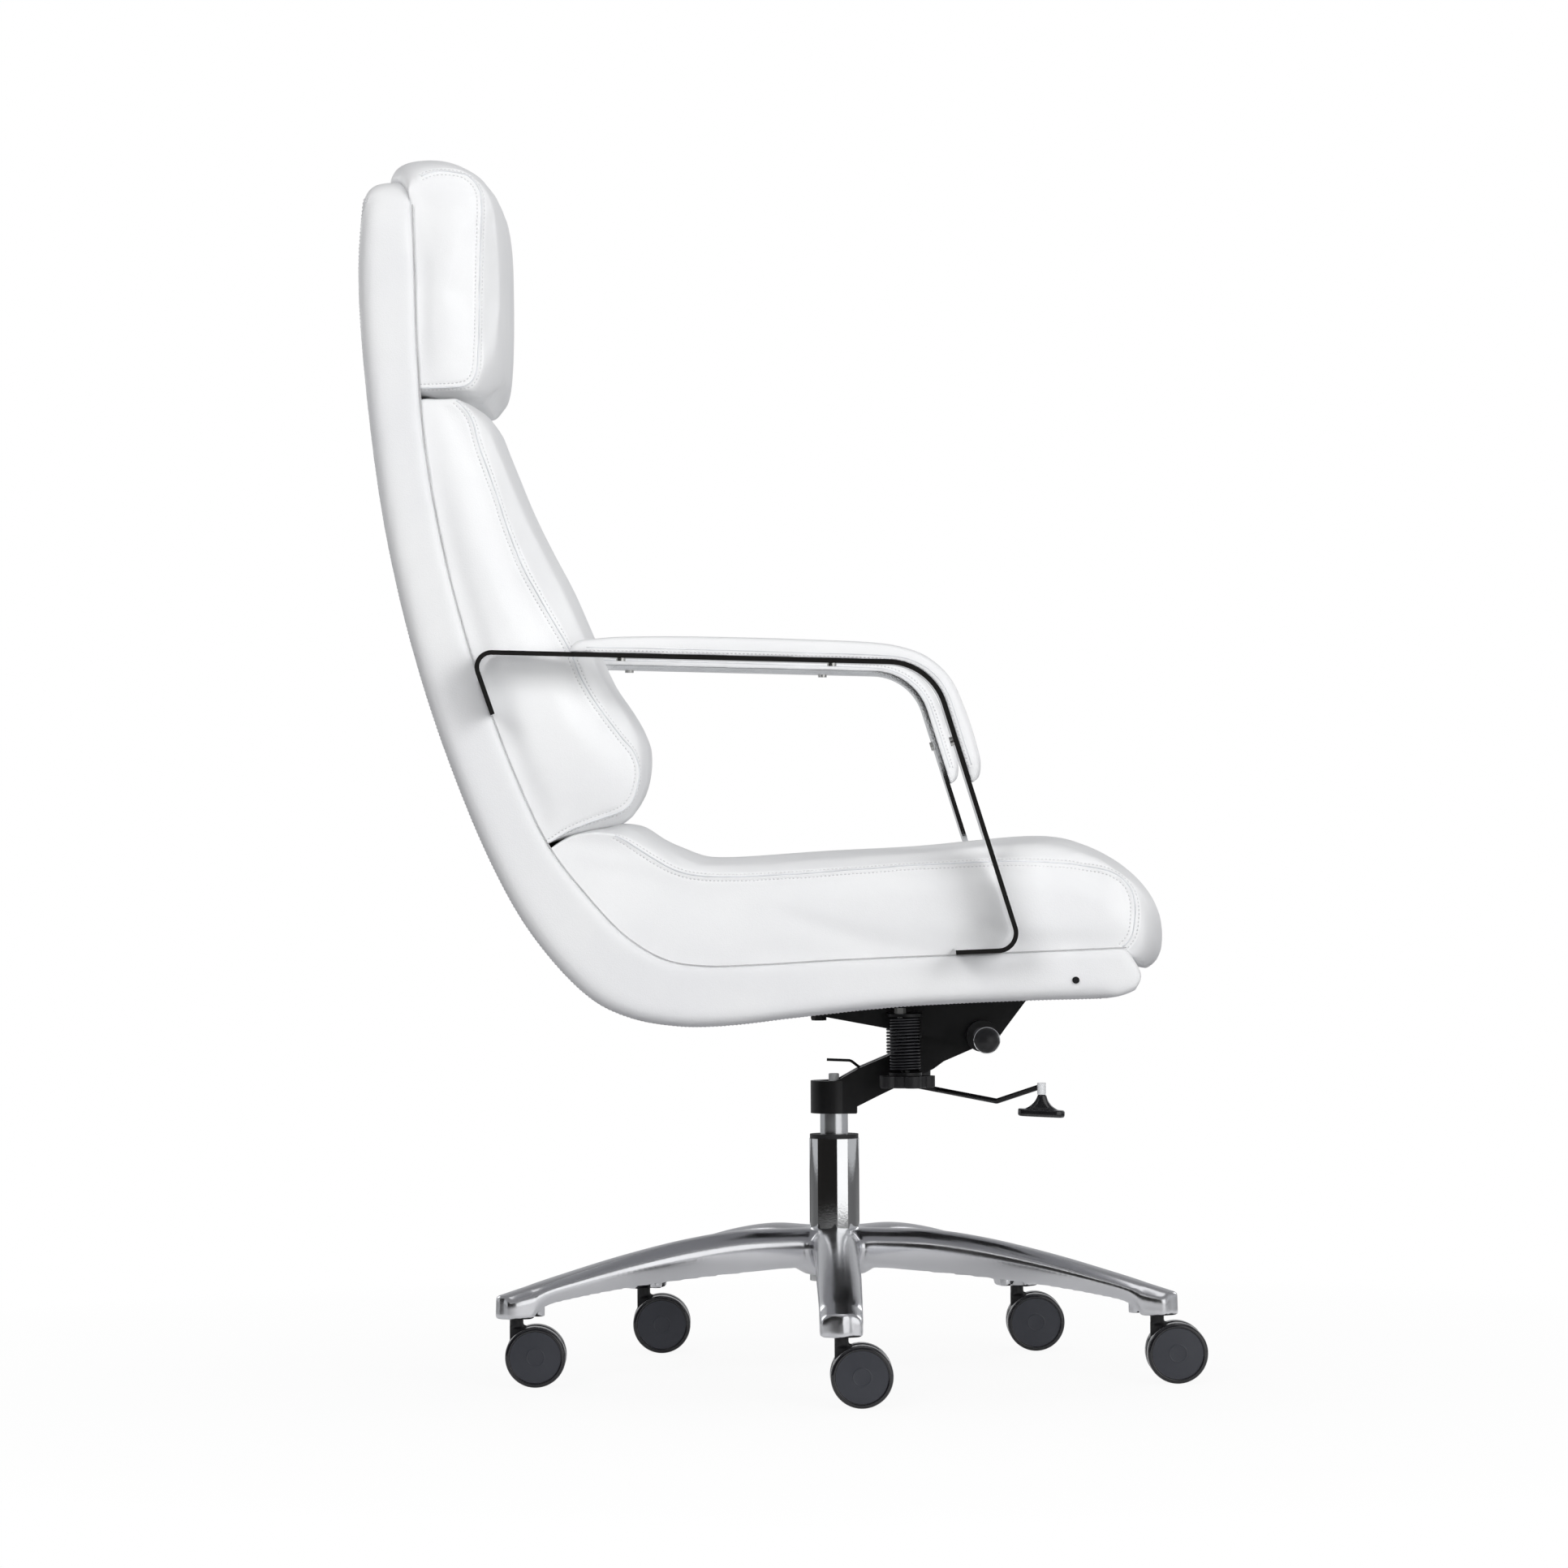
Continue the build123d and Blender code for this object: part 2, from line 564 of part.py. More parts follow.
def make_arm_pad():
    inner_r = BAND_BENDS[1] + BAND_T / 2 + 0.3
    line = [on_line(BAND_CORNERS[1], BAND_CORNERS[2], 0.213), BAND_CORNERS[2],
            on_line(BAND_CORNERS[2], BAND_CORNERS[3], 0.42)]
    inner = outside(line, BAND_T / 2 + 0.3)
    outer = [
        inner[0], (-252, 729.5), (-227, 734), (-172, 735.5), (-102, 734.3), (-24, 731.6), (38, 728.2),
        (62, 724.2), (86, 715), (108, 695), (121, 668.5), (133.4, 631), (137.4, 611), (135, 598), inner[-1],
    ]
    face = side_face(Spline(*outer), FilletPolyline(*reversed(inner), radius=inner_r))
    pad = slab(face, PAD_W / 2, -BAND_Y)
    for place in pad_screw_places():
        pad -= pin(place, 0, BAND_T + 9.2, 2.5 + RUN)
    return pad


def make_arms(shell, board):
    path = band_path(BAND_CORNERS, BAND_BENDS)
    band = flat_bar(path, BAND_W, BAND_T, -BAND_Y)
    tab_w = BAND_Y - BAND_W / 2 + 1 - TAB_INNER_Y
    for start, end in foot_lines():
        line = Line((start[0], 0, start[1]), (end[0], 0, end[1]))
        band += flat_bar(line, tab_w, BAND_T, -TAB_INNER_Y - tab_w / 2)

    screws = []
    for place in pad_screw_places():
        band -= pin(place, -1, BAND_T + 1, 2.5 + RUN)
        screw = pin(place, -2.6, 0, 4.6) + pin(place, 0, BAND_T + 9, 2.5)
        screws.append(screw)
    bolts = []
    for place in foot_bolt_places():
        band -= pin(place, -1, BAND_T + 1, 3 + RUN)
        bolts.append(pin(place, -3, 0, 5) + pin(place, 0, 19, 3))
        for hole in both_sides(pin(place, 0, 19.3, 3 + RUN)):
            shell -= hole
            board -= hole

    pad = make_arm_pad()
    for name, band_piece, pad_piece in zip(("right", "left"), both_sides(band), both_sides(pad)):
        save(f"arm_band_{name}", band_piece)
        save(f"arm_pad_{name}", pad_piece)
    save("arm_pad_screws", *[s for screw in screws for s in both_sides(screw)])
    save("arm_foot_bolts", *[b for bolt in bolts for b in both_sides(bolt)])
    return shell, board


def make_seat():
    shell, board = make_shell()
    make_cushions(shell, board)
    make_seat_plate(shell)
    for hole in plate_bolt_shanks(RUN):
        shell -= hole
        board -= hole
    shell, board = make_arms(shell, board)
    stud = crosswise(SIDE_STUD_X, SIDE_STUD_Z, -SEAT_HALF_W - 1.5, -SEAT_HALF_W + 8, 3.4)
    for hole in both_sides(crosswise(SIDE_STUD_X, SIDE_STUD_Z, -SEAT_HALF_W - 2, -SEAT_HALF_W + 8, 3.4 + RUN)):
        shell -= hole
    save("shell_side_studs", *both_sides(stud))
    save("padded_shell", shell)
    save("shell_board", board)


make_base()
make_casters()
make_column()
make_tilt_arm()
make_pivot()
make_tilt_lock()
make_springs()
make_tension_knobs()
make_gas_lever()
make_plate_bolts()
make_seat()
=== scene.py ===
import math

import bmesh
import bpy
import numpy as np
from mathutils import Matrix, Vector
from mathutils.bvhtree import BVHTree
from mathutils.kdtree import KDTree


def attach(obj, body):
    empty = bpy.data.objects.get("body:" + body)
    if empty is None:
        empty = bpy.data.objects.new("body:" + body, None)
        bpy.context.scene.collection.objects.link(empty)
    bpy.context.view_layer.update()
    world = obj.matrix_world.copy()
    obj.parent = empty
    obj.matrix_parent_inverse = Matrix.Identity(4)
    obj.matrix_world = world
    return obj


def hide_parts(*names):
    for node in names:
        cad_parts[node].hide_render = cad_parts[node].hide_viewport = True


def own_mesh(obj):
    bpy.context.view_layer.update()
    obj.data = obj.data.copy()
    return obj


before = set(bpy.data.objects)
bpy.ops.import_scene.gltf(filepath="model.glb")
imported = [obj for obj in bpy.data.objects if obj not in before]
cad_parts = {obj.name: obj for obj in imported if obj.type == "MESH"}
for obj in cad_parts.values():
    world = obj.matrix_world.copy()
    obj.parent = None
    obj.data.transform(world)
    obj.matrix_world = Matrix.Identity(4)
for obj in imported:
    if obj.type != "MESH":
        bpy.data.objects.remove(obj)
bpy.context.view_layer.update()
MM = 0.001  # shapes are in millimetres, and the studio is in metres
TINY = 1e-6  # keeps a length above zero before it divides


# ---------------------------------------------------------------- materials

def new_material(name, colour, roughness, metallic=0.0, **sockets):
    material = bpy.data.materials.new(name)
    material.use_nodes = True
    tree = material.node_tree
    bsdf = tree.nodes["Principled BSDF"]
    bsdf.inputs["Base Color"].default_value = (*colour, 1)
    bsdf.inputs["Roughness"].default_value = roughness
    bsdf.inputs["Metallic"].default_value = metallic
    for socket, value in sockets.items():
        bsdf.inputs[socket.replace("_", " ")].default_value = value
    coordinates = tree.nodes.new("ShaderNodeTexCoord")
    return material, tree, bsdf, coordinates


def noise(tree, vector, scale, detail=4.0, rough=0.55, stretch=None):
    if stretch:
        mapping = tree.nodes.new("ShaderNodeMapping")
        mapping.inputs["Scale"].default_value = stretch
        tree.links.new(vector, mapping.inputs["Vector"])
        vector = mapping.outputs["Vector"]
    node = tree.nodes.new("ShaderNodeTexNoise")
    node.inputs["Scale"].default_value = scale
    node.inputs["Detail"].default_value = detail
    node.inputs["Roughness"].default_value = rough
    tree.links.new(vector, node.inputs["Vector"])
    return node.outputs["Fac"]


def ramp(tree, value, low, high, start, end):
    """A value from low to high as the input goes from start to end."""
    node = tree.nodes.new("ShaderNodeMapRange")
    node.inputs["From Min"].default_value = start
    node.inputs["From Max"].default_value = end
    node.inputs["To Min"].default_value = low
    node.inputs["To Max"].default_value = high
    tree.links.new(value, node.inputs["Value"])
    return node.outputs["Result"]


def blend_colour(tree, value, a, b):
    node = tree.nodes.new("ShaderNodeMix")
    node.data_type = "RGBA"
    for socket, colour in zip("AB", (a, b)):
        if isinstance(colour, tuple):
            node.inputs[socket].default_value = (*colour, 1)
        else:
            tree.links.new(colour, node.inputs[socket])
    tree.links.new(value, node.inputs["Factor"])
    return node.outputs["Result"]


def bump(tree, height, strength, distance, before=None):
    node = tree.nodes.new("ShaderNodeBump")
    node.inputs["Strength"].default_value = strength
    node.inputs["Distance"].default_value = distance
    tree.links.new(height, node.inputs["Height"])
    if before:
        tree.links.new(before, node.inputs["Normal"])
    return node.outputs["Normal"]


def calculate(tree, operation, first, second):
    """Works out a value from two values or sockets."""
    node = tree.nodes.new("ShaderNodeMath")
    node.operation = operation
    for socket, value in zip(node.inputs, (first, second)):
        if isinstance(value, (int, float)):
            socket.default_value = value
        else:
            tree.links.new(value, socket)
    return node.outputs["Value"]


def vary_colour(tree, bsdf, value, start, end, first, second):
    """Blends the colour from first to second as the value goes from start to end."""
    colour = blend_colour(tree, ramp(tree, value, 0, 1, start, end), first, second)
    tree.links.new(colour, bsdf.inputs["Base Color"])


def vary_roughness(tree, bsdf, value, start, end, low, high):
    tree.links.new(ramp(tree, value, low, high, start, end), bsdf.inputs["Roughness"])


def leather(name, light, shade, roughness=0.42):
    """Dyed leather: pebbled grain, soft creases, slight shade changes."""
    pebbles_per_metre = 1000 / 1.1
    material, tree, bsdf, coordinates = new_material(
        name, light, roughness, Specular_IOR_Level=0.45, Coat_Weight=0.12, Coat_Roughness=0.28
    )
    place = coordinates.outputs["Object"]
    cells = tree.nodes.new("ShaderNodeTexVoronoi")
    cells.feature = "SMOOTH_F1"
    cells.inputs["Scale"].default_value = pebbles_per_metre
    cells.inputs["Smoothness"].default_value = 0.6
    cells.inputs["Randomness"].default_value = 1.0
    tree.links.new(place, cells.inputs["Vector"])
    creases = noise(tree, place, 38, 6, 0.62)
    folds = noise(tree, place, 9, 3, 0.5)
    normal = bump(tree, cells.outputs["Distance"], strength=0.22, distance=0.0005)
    normal = bump(tree, creases, strength=0.16, distance=0.0016, before=normal)
    normal = bump(tree, folds, strength=0.18, distance=0.006, before=normal)
    tree.links.new(normal, bsdf.inputs["Normal"])
    vary_colour(tree, bsdf, folds, 0.35, 0.7, light, shade)
    vary_roughness(tree, bsdf, creases, 0.3, 0.7, roughness - 0.05, roughness + 0.1)
    return material


def polished(name, colour, roughness, streak=(1, 1, 1), wear=0.05):
    """Bright metal: a fine polish with faint smears and tiny scratches."""
    material, tree, bsdf, coordinates = new_material(name, colour, roughness, metallic=1.0)
    place = coordinates.outputs["Object"]
    smears = noise(tree, place, 14, 5, 0.6)
    scratches = noise(tree, place, 420, 3, 0.7, streak)
    tree.links.new(bump(tree, scratches, strength=0.05, distance=0.0002), bsdf.inputs["Normal"])
    vary_colour(tree, bsdf, smears, 0.3, 0.8, colour, tuple(c * 0.93 for c in colour))
    vary_roughness(tree, bsdf, smears, 0.35, 0.75, roughness * 0.75, roughness + wear)
    return material


def painted(name, colour, roughness, grain, depth, strength, patchy=1.35, **sockets):
    """Powder coat or moulded plastic: fine texture and small changes of sheen."""
    material, tree, bsdf, coordinates = new_material(name, colour, roughness, **sockets)
    place = coordinates.outputs["Object"]
    texture = noise(tree, place, grain, 3, 0.6)
    patches = noise(tree, place, 22, 4, 0.6)
    lighter = tuple(min(1, c * patchy + 0.004 * (patchy - 1)) for c in colour)
    tree.links.new(bump(tree, texture, strength, depth), bsdf.inputs["Normal"])
    vary_colour(tree, bsdf, patches, 0.35, 0.75, colour, lighter)
    vary_roughness(tree, bsdf, patches, 0.3, 0.7, roughness - 0.06, roughness + 0.08)
    return material


WHITE = leather("white_leather", (0.885, 0.89, 0.895), (0.845, 0.85, 0.86))
# The shell's leather is a darker copy of the white leather: painted shade for the shell's faces that curve
# away from the light.
SHELL_LEATHER_PAINTED_SHADE = leather("shell_leather", (0.85, 0.855, 0.86), (0.81, 0.815, 0.83), 0.45)
PAD_LEATHER = leather("pad_leather", (0.885, 0.89, 0.895), (0.845, 0.85, 0.86), 0.4)
THREAD = painted("white_thread", (0.63, 0.63, 0.64), 0.6, 900, 0.0003, 0.4)
# A dark grey tube in the gap between the cushions and the shell: painted shade in that gap.
JOINT_PAINTED_SHADE = painted("shell_joint", (0.44, 0.44, 0.445), 0.8, 500, 0.0003, 0.3)
# A grey tube laid along each seam: painted shade in the seam's crease.
CREASE_PAINTED_SHADE = painted("seam_crease", (0.66, 0.67, 0.69), 0.7, 500, 0.0003, 0.3)
ALUMINIUM = polished("polished_aluminium", (0.78, 0.785, 0.81), 0.22, wear=0.06)
CHROME = polished("chrome", (0.88, 0.89, 0.90), 0.03, wear=0.02)
BRIGHT_STEEL = polished("cylinder_steel", (0.80, 0.81, 0.83), 0.24, (1, 1, 0.1))
ZINC = polished("zinc_steel", (0.66, 0.66, 0.64), 0.26, wear=0.12)
SPRING = polished("spring_steel", (0.07, 0.07, 0.075), 0.34, wear=0.12)
BLACK_STEEL = painted("black_steel", (0.006, 0.006, 0.0065), 0.33, 900, 0.0003, 0.25, Specular_IOR_Level=0.35)
BLACK_PLASTIC = painted(
    "black_plastic", (0.011, 0.011, 0.012), 0.42, 1400, 0.0002, 0.25, Specular_IOR_Level=0.4
)
GLOSS_PLASTIC = painted("gloss_black_plastic", (0.008, 0.008, 0.009), 0.16, 500, 0.0001, 0.1, Coat_Weight=0.5)
WHEEL = painted("wheel_plastic", (0.008, 0.008, 0.010), 0.16, 600, 0.0001, 0.1, 1.1, Coat_Weight=0.5)
WHEEL_DISC = painted("wheel_disc_plastic", (0.031, 0.033, 0.041), 0.34, 1500, 0.0002, 0.3, 1.08)
GREY_PLASTIC = painted("grey_plastic", (0.62, 0.63, 0.64), 0.38, 1000, 0.0002, 0.2)
BUSH_PLASTIC = painted("bush_plastic", (0.05, 0.05, 0.055), 0.45, 900, 0.0002, 0.2)
PLY = painted("plywood", (0.42, 0.28, 0.16), 0.6, 120, 0.0006, 0.3)
RUBBER = painted("rubber", (0.016, 0.016, 0.016), 0.7, 700, 0.0003, 0.35)

FINISH = {
    "white_leather": WHITE, "pad_leather": PAD_LEATHER, "plywood": PLY, "polished_aluminium": ALUMINIUM,
    "chrome": CHROME, "black_steel": BLACK_STEEL, "spring_steel": SPRING, "zinc_steel": ZINC,
    "cylinder_steel": BRIGHT_STEEL, "black_plastic": BLACK_PLASTIC, "gloss_black_plastic": GLOSS_PLASTIC,
    "wheel_plastic": WHEEL, "grey_plastic": GREY_PLASTIC, "bush_plastic": BUSH_PLASTIC, "rubber": RUBBER,
}


# ---------------------------------------------------------------- helpers

def paint(obj, material):
    obj.data.materials.clear()
    obj.data.materials.append(material)


def add_object(name, data):
    obj = bpy.data.objects.new(name, data)
    bpy.context.scene.collection.objects.link(obj)
    return obj


def make(name, verts, faces, body, slot, material=None, replaces=None):
    """A piece from points in millimetres, which rides on a body."""
    mesh = bpy.data.meshes.new(name)
    points = [tuple(float(c) * MM for c in v) for v in verts]
    mesh.from_pydata(points, [], [tuple(int(i) for i in f) for f in faces])
    mesh.update()
    obj = add_object(name, mesh)
    paint(obj, material or FINISH[slot])
    mesh.shade_smooth()
    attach(obj, body)
    if replaces:
        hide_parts(replaces)
    return obj


def add_modifier(obj, kind, **settings):
    modifier = obj.modifiers.new(kind.lower(), kind)
    for name, value in settings.items():
        setattr(modifier, name, value)


def apply_modifiers(obj):
    bpy.context.view_layer.update()
    depsgraph = bpy.context.evaluated_depsgraph_get()
    mesh = bpy.data.meshes.new_from_object(obj.evaluated_get(depsgraph), depsgraph=depsgraph)
    obj.modifiers.clear()
    old = obj.data
    obj.data = mesh
    bpy.data.meshes.remove(old)
    obj.data.shade_smooth()


def remesh(obj, voxel, times):
    """Covers the piece with one even skin and smooths it."""
    add_modifier(obj, "REMESH", mode="VOXEL", voxel_size=voxel * MM)
    relax(obj, times)


def relax(obj, times):
    add_modifier(obj, "SMOOTH", iterations=times, factor=0.5)
    apply_modifiers(obj)


def subdivide(obj):
    add_modifier(obj, "SUBSURF", levels=1, render_levels=1)
    apply_modifiers(obj)


def edit_mesh(obj, work):
    """Lets a function work on the mesh of obj."""
    bm = bmesh.new()
    bm.from_mesh(obj.data)
    work(bm)
    bm.to_mesh(obj.data)
    bm.free()


def face_outwards(bm):
    bmesh.ops.recalc_face_normals(bm, faces=bm.faces)


def split_large_faces(bm):
    bmesh.ops.triangulate(bm, faces=[f for f in bm.faces if len(f.verts) > 4])


def clean_up(bm):
    face_outwards(bm)
    split_large_faces(bm)


def points_of(obj):
    co = np.empty(len(obj.data.vertices) * 3)
    obj.data.vertices.foreach_get("co", co)
    return co.reshape(-1, 3) / MM


def set_points(obj, points):
    obj.data.vertices.foreach_set("co", (np.asarray(points) * MM).ravel())
    obj.data.update()


def normals_of(obj):
    normals = np.empty(len(obj.data.vertices) * 3)
    obj.data.vertices.foreach_get("normal", normals)
    return normals.reshape(-1, 3)


def spline(points, step=1.0):
    """A dense smooth line through the points."""
    p = np.array(points, float)
    out = []
    for i, (b, c) in enumerate(zip(p, p[1:])):
        a = p[i - 1] if i > 0 else 2 * b - c
        d = p[i + 2] if i + 2 < len(p) else 2 * c - b
        ta, tb, tc = (max(np.linalg.norm(v), TINY) ** 0.5 for v in (b - a, c - b, d - c))
        m1 = (c - b) + tb * ((b - a) / ta - (c - a) / (ta + tb))
        m2 = (c - b) + tb * ((d - c) / tc - (d - b) / (tb + tc))
        count = max(2, int(np.linalg.norm(c - b) / step))
        for t in np.arange(count) / count:
            out.append(
                (2 * t**3 - 3 * t**2 + 1) * b + (t**3 - 2 * t**2 + t) * m1
                + (-2 * t**3 + 3 * t**2) * c + (t**3 - t**2) * m2
            )
    out.append(p[-1])
    return np.array(out)


def evenly(line, count):
    """count points at equal distances along a line."""
    line = np.asarray(line, float)
    along = np.concatenate([[0], np.cumsum(np.linalg.norm(np.diff(line, axis=0), axis=1))])
    at = np.linspace(0, along[-1], count)
    return np.stack([np.interp(at, along, line[:, k]) for k in range(line.shape[1])], axis=1)


def length_of(line):
    return float(np.linalg.norm(np.diff(np.asarray(line), axis=0), axis=1).sum())


def spaced(line, gap, least=2):
    """Points along a line, about gap apart."""
    return evenly(line, max(least, int(length_of(line) / gap)))


def smooth_line(line, times=6):
    line = np.array(line)
    for _ in range(times):
        line[1:-1] = (line[:-2] + 2 * line[1:-1] + line[2:]) / 4
    return line


def directions(line):
    """The unit direction of a line at each of its points."""
    along = np.gradient(line, axis=0)
    return along / np.linalg.norm(along, axis=1)[:, None]


def sideways(line, distance):
    """A line in the XZ plane, moved to the right of the way it runs."""
    along = directions(line)
    return line + distance * np.stack([along[:, 1], -along[:, 0]], axis=1)


def standing(line, y):
    """A line in the XZ plane, as points in space at y."""
    return np.stack([line[:, 0], np.broadcast_to(y, len(line)), line[:, 1]], axis=1)


def nearest(line, point):
    return int(np.argmin(np.linalg.norm(line - point, axis=1)))


def full_turn(count):
    return np.linspace(0, 2 * math.pi, count, endpoint=False)


def loft(rings):
    """Points and faces between rings of equal count; the ends are closed."""
    rings = np.asarray(rings, float)
    count, around = rings.shape[:2]
    faces = []
    for i in range(count - 1):
        for j in range(around):
            k = (j + 1) % around
            faces.append((i * around + j, i * around + k, (i + 1) * around + k, (i + 1) * around + j))
    faces.append(tuple(range(around))[::-1])
    faces.append(tuple((count - 1) * around + j for j in range(around)))
    return rings.reshape(-1, 3), faces


def join_meshes(parts):
    verts, faces, start = [], [], 0
    for v, f in parts:
        verts.append(np.asarray(v, float))
        faces += [tuple(i + start for i in face) for face in f]
        start += len(v)
    return np.concatenate(verts), faces


def smoothstep(a, b, x):
    t = np.clip((np.asarray(x, float) - a) / (b - a), 0, 1)
    return t * t * (3 - 2 * t)


def tube(line, radius):
    """A round tube along a line of points."""
    off_line = (0.13, 0.31, 0.94)  # no line here starts in this direction
    tangents = directions(line)
    normal = np.cross(tangents[0], off_line)
    normal /= np.linalg.norm(normal)
    rings = []
    for point, tangent in zip(np.asarray(line, float), tangents):
        normal = normal - tangent * (normal @ tangent)
        normal /= np.linalg.norm(normal)
        other = np.cross(tangent, normal)
        rings.append([point + radius * (math.cos(a) * normal + math.sin(a) * other) for a in full_turn(8)])
    return loft(rings)


def tree_of(points):
    """A tree that finds the nearest of the points."""
    tree = KDTree(len(points))
    for i, p in enumerate(points):
        tree.insert(Vector(p), i)
    tree.balance()
    return tree


# ---------------------------------------------------------------- seams and stitches

STITCH_GAP = 3.8  # from one stitch to the next
STITCH_LENGTH = 2.4
STITCH_RADIUS = 0.75
STITCH_FLATNESS = 0.75
ROW_GAP = 4.2  # from the seam to each row of stitches


class Skin:
    """The surface of a finished piece, to lay seams and stitches on."""

    def __init__(self, obj):
        mesh = obj.data
        mesh.calc_loop_triangles()
        self.tree = BVHTree.FromPolygons(
            [v.co / MM for v in mesh.vertices], [t.vertices for t in mesh.loop_triangles]
        )

    def on(self, points):
        """The nearest points of the surface and the normals there."""
        found = [self.tree.find_nearest(Vector(p)) for p in points]
        return np.array([f[0] for f in found]), np.array([f[1] for f in found])


def one_stitch():
    """A small rounded bar along x."""
    rings = []
    for t in np.linspace(-1, 1, 5):
        r = STITCH_RADIUS * max(math.sqrt(1 - abs(t) ** 3), 0.25)
        rings.append([
            (t * STITCH_LENGTH / 2, r * math.cos(a), STITCH_FLATNESS * r * math.sin(a)) for a in full_turn(7)
        ])
    return loft(rings)


def stitches_on(skin, line):
    """A row of stitches along a line on the surface."""
    row, normals = skin.on(spaced(line, STITCH_GAP))
    stitch, faces = one_stitch()
    parts = []
    for centre, along, up in zip(row, directions(smooth_line(row)), normals):
        across = np.cross(up, along)
        across /= np.linalg.norm(across)
        along = np.cross(across, up)
        parts.append((centre + stitch[:, :1] * along + stitch[:, 1:2] * across + stitch[:, 2:] * up, faces))
    return join_meshes(parts)


def settled(skin, line):
    """A line laid on the surface and evened out."""
    return smooth_line(skin.on(spaced(line, 3, least=4))[0])


def beside(skin, line, offsets):
    """Lines on the surface at fixed distances beside a seam."""
    side = np.cross(smooth_line(skin.on(line)[1], 12), directions(smooth_line(line)))
    side /= np.linalg.norm(side, axis=1)[:, None]
    return [smooth_line(skin.on(line + side * distance)[0]) for distance in offsets]


def groove(obj, lines, depth, width, lip=0.0):
    """Presses a seam into the surface, with an optional soft lip beside it."""
    seam = np.concatenate([spaced(line, 1.5) for line in lines])
    tree = tree_of(seam)
    points, normals = points_of(obj), normals_of(obj)
    reach, lip_at = 5 * width, 2.2 * width
    near = ((points > seam.min(0) - reach) & (points < seam.max(0) + reach)).all(1)
    for i in np.where(near)[0]:
        d = tree.find(Vector(points[i]))[2]
        if d < reach:
            pressed = depth * math.exp(-((d / width) ** 2))
            raised = lip * math.exp(-(((d - lip_at) / width) ** 2))
            points[i] += normals[i] * (raised - pressed)
    set_points(obj, points)


def refine(obj, lines, reach):
    """Splits the faces near some lines, so that a seam there comes out sharp."""
    tree = tree_of(np.concatenate([spaced(line, 3) for line in lines]))

    def split(bm):
        near = {v for v in bm.verts if tree.find(v.co / MM)[2] < reach}
        edges = [e for e in bm.edges if e.verts[0] in near and e.verts[1] in near]
        bmesh.ops.subdivide_edges(bm, edges=edges, cuts=1, use_grid_fill=True, smooth=0.6)
        split_large_faces(bm)
    edit_mesh(obj, split)
    obj.data.shade_smooth()


def add_trim(name, parts, slot, material):
    """Stitches or seams of the seat, joined into one piece."""
    make(name, *join_meshes(parts), "seat", slot, material)


def sew(obj, seams, press, crease, press_rows=None):
    """Presses seams into a piece, and gives each one a grey line of painted shade in its crease and two rows
    of stitches.
    """
    groove(obj, seams, *press)
    skin = Skin(obj)
    lines = [settled(skin, seam) for seam in seams]
    rows = [row for line in lines for row in beside(skin, line, (-ROW_GAP, ROW_GAP))]
    if press_rows:
        groove(obj, rows, *press_rows)
        skin = Skin(obj)
    add_trim(obj.name + "_stitches", [stitches_on(skin, row) for row in rows], "white_leather", THREAD)
    # The grey tube along each seam is painted shade in its crease.
    add_trim(obj.name + "_seam", [tube(line, crease) for line in lines], "white_leather", CREASE_PAINTED_SHADE)


# ---------------------------------------------------------------- the chair's lines, millimetres

SHELL_SEAM = [
    (-409, 1166), (-406.5, 1090), (-404, 1010), (-397, 922), (-381, 829), (-359, 741), (-333, 661),
    (-308, 596), (-279, 535), (-247, 492), (-205, 447), (-167, 424), (-130, 417.5), (-77, 418.5),
    (8, 423), (161, 428.5), (279, 433),
]
SHELL_BACK = [
    (-456.7, 1165), (-461, 1090), (-453.7, 976), (-432.4, 824), (-393.7, 672), (-335.4, 520),
    (-292.3, 444.5), (-239, 387), (-201, 368), (-151, 359.3), (-104, 360.2), (-41, 367.2),
    (57, 377), (184, 382.6), (255, 384.2),
]
HEAD_SIDE = [
    (-400, 1188), (-387, 1194.5), (-368, 1196), (-350, 1193), (-340, 1183), (-335.5, 1166), (-338, 1125),
    (-340, 1075), (-342, 1012), (-346, 990), (-356, 978.5), (-374, 976), (-402, 976.5),
]
HEAD_CENTRE = [
    (-446, 1187), (-436, 1208), (-410, 1216.5), (-380, 1215.5), (-350, 1209.5), (-333, 1191), (-324, 1154),
    (-321.5, 1127), (-322, 1020), (-327, 982), (-337.5, 957), (-350, 961), (-366, 965.5), (-403, 965.5),
]
BACK_SIDE = [
    (-364, 973), (-352, 957), (-342, 924), (-328, 887), (-316, 847), (-301, 808), (-287, 780),
    (-271, 753), (-255, 727), (-243, 698), (-225, 669), (-206, 644), (-193, 629), (-187, 614),
    (-186, 598), (-192, 579), (-203, 567), (-224, 558), (-262, 543), (-283, 530),
]
BACK_CENTRE = [
    (-366, 979), (-351, 972), (-336, 960), (-330, 943), (-315, 905), (-299, 866), (-280, 827), (-260, 789),
    (-243, 750), (-218, 692), (-205, 673), (-193, 654), (-184, 634), (-178, 615), (-179, 596),
    (-185.5, 575), (-197, 553), (-232, 549), (-257, 543), (-283, 528),
]
SEAT_SIDE = [
    (-213, 547), (-178, 525), (-152, 511), (-111, 507), (-34, 510.5), (54, 518), (142, 521.5),
    (215, 521), (245, 518.5), (265, 514.5), (277, 507), (285, 496), (287.5, 486), (288, 455), (283, 439),
    (276, 434),
]
SEAT_CENTRE = [
    (-198, 553.5), (-184, 549), (-168, 537), (-143, 526), (-127, 520), (-103, 519), (-5, 525),
    (91, 529.6), (164, 536.5), (197, 539), (221, 538.6), (242, 535), (261.5, 528), (286, 515.6),
    (308, 496), (322, 476.5), (328.4, 457), (329, 436), (325, 415.5), (317, 405), (307.8, 399),
]
SHELL_TOP_Z = 1183.5
HEAD_TOP_Z = 1214.0
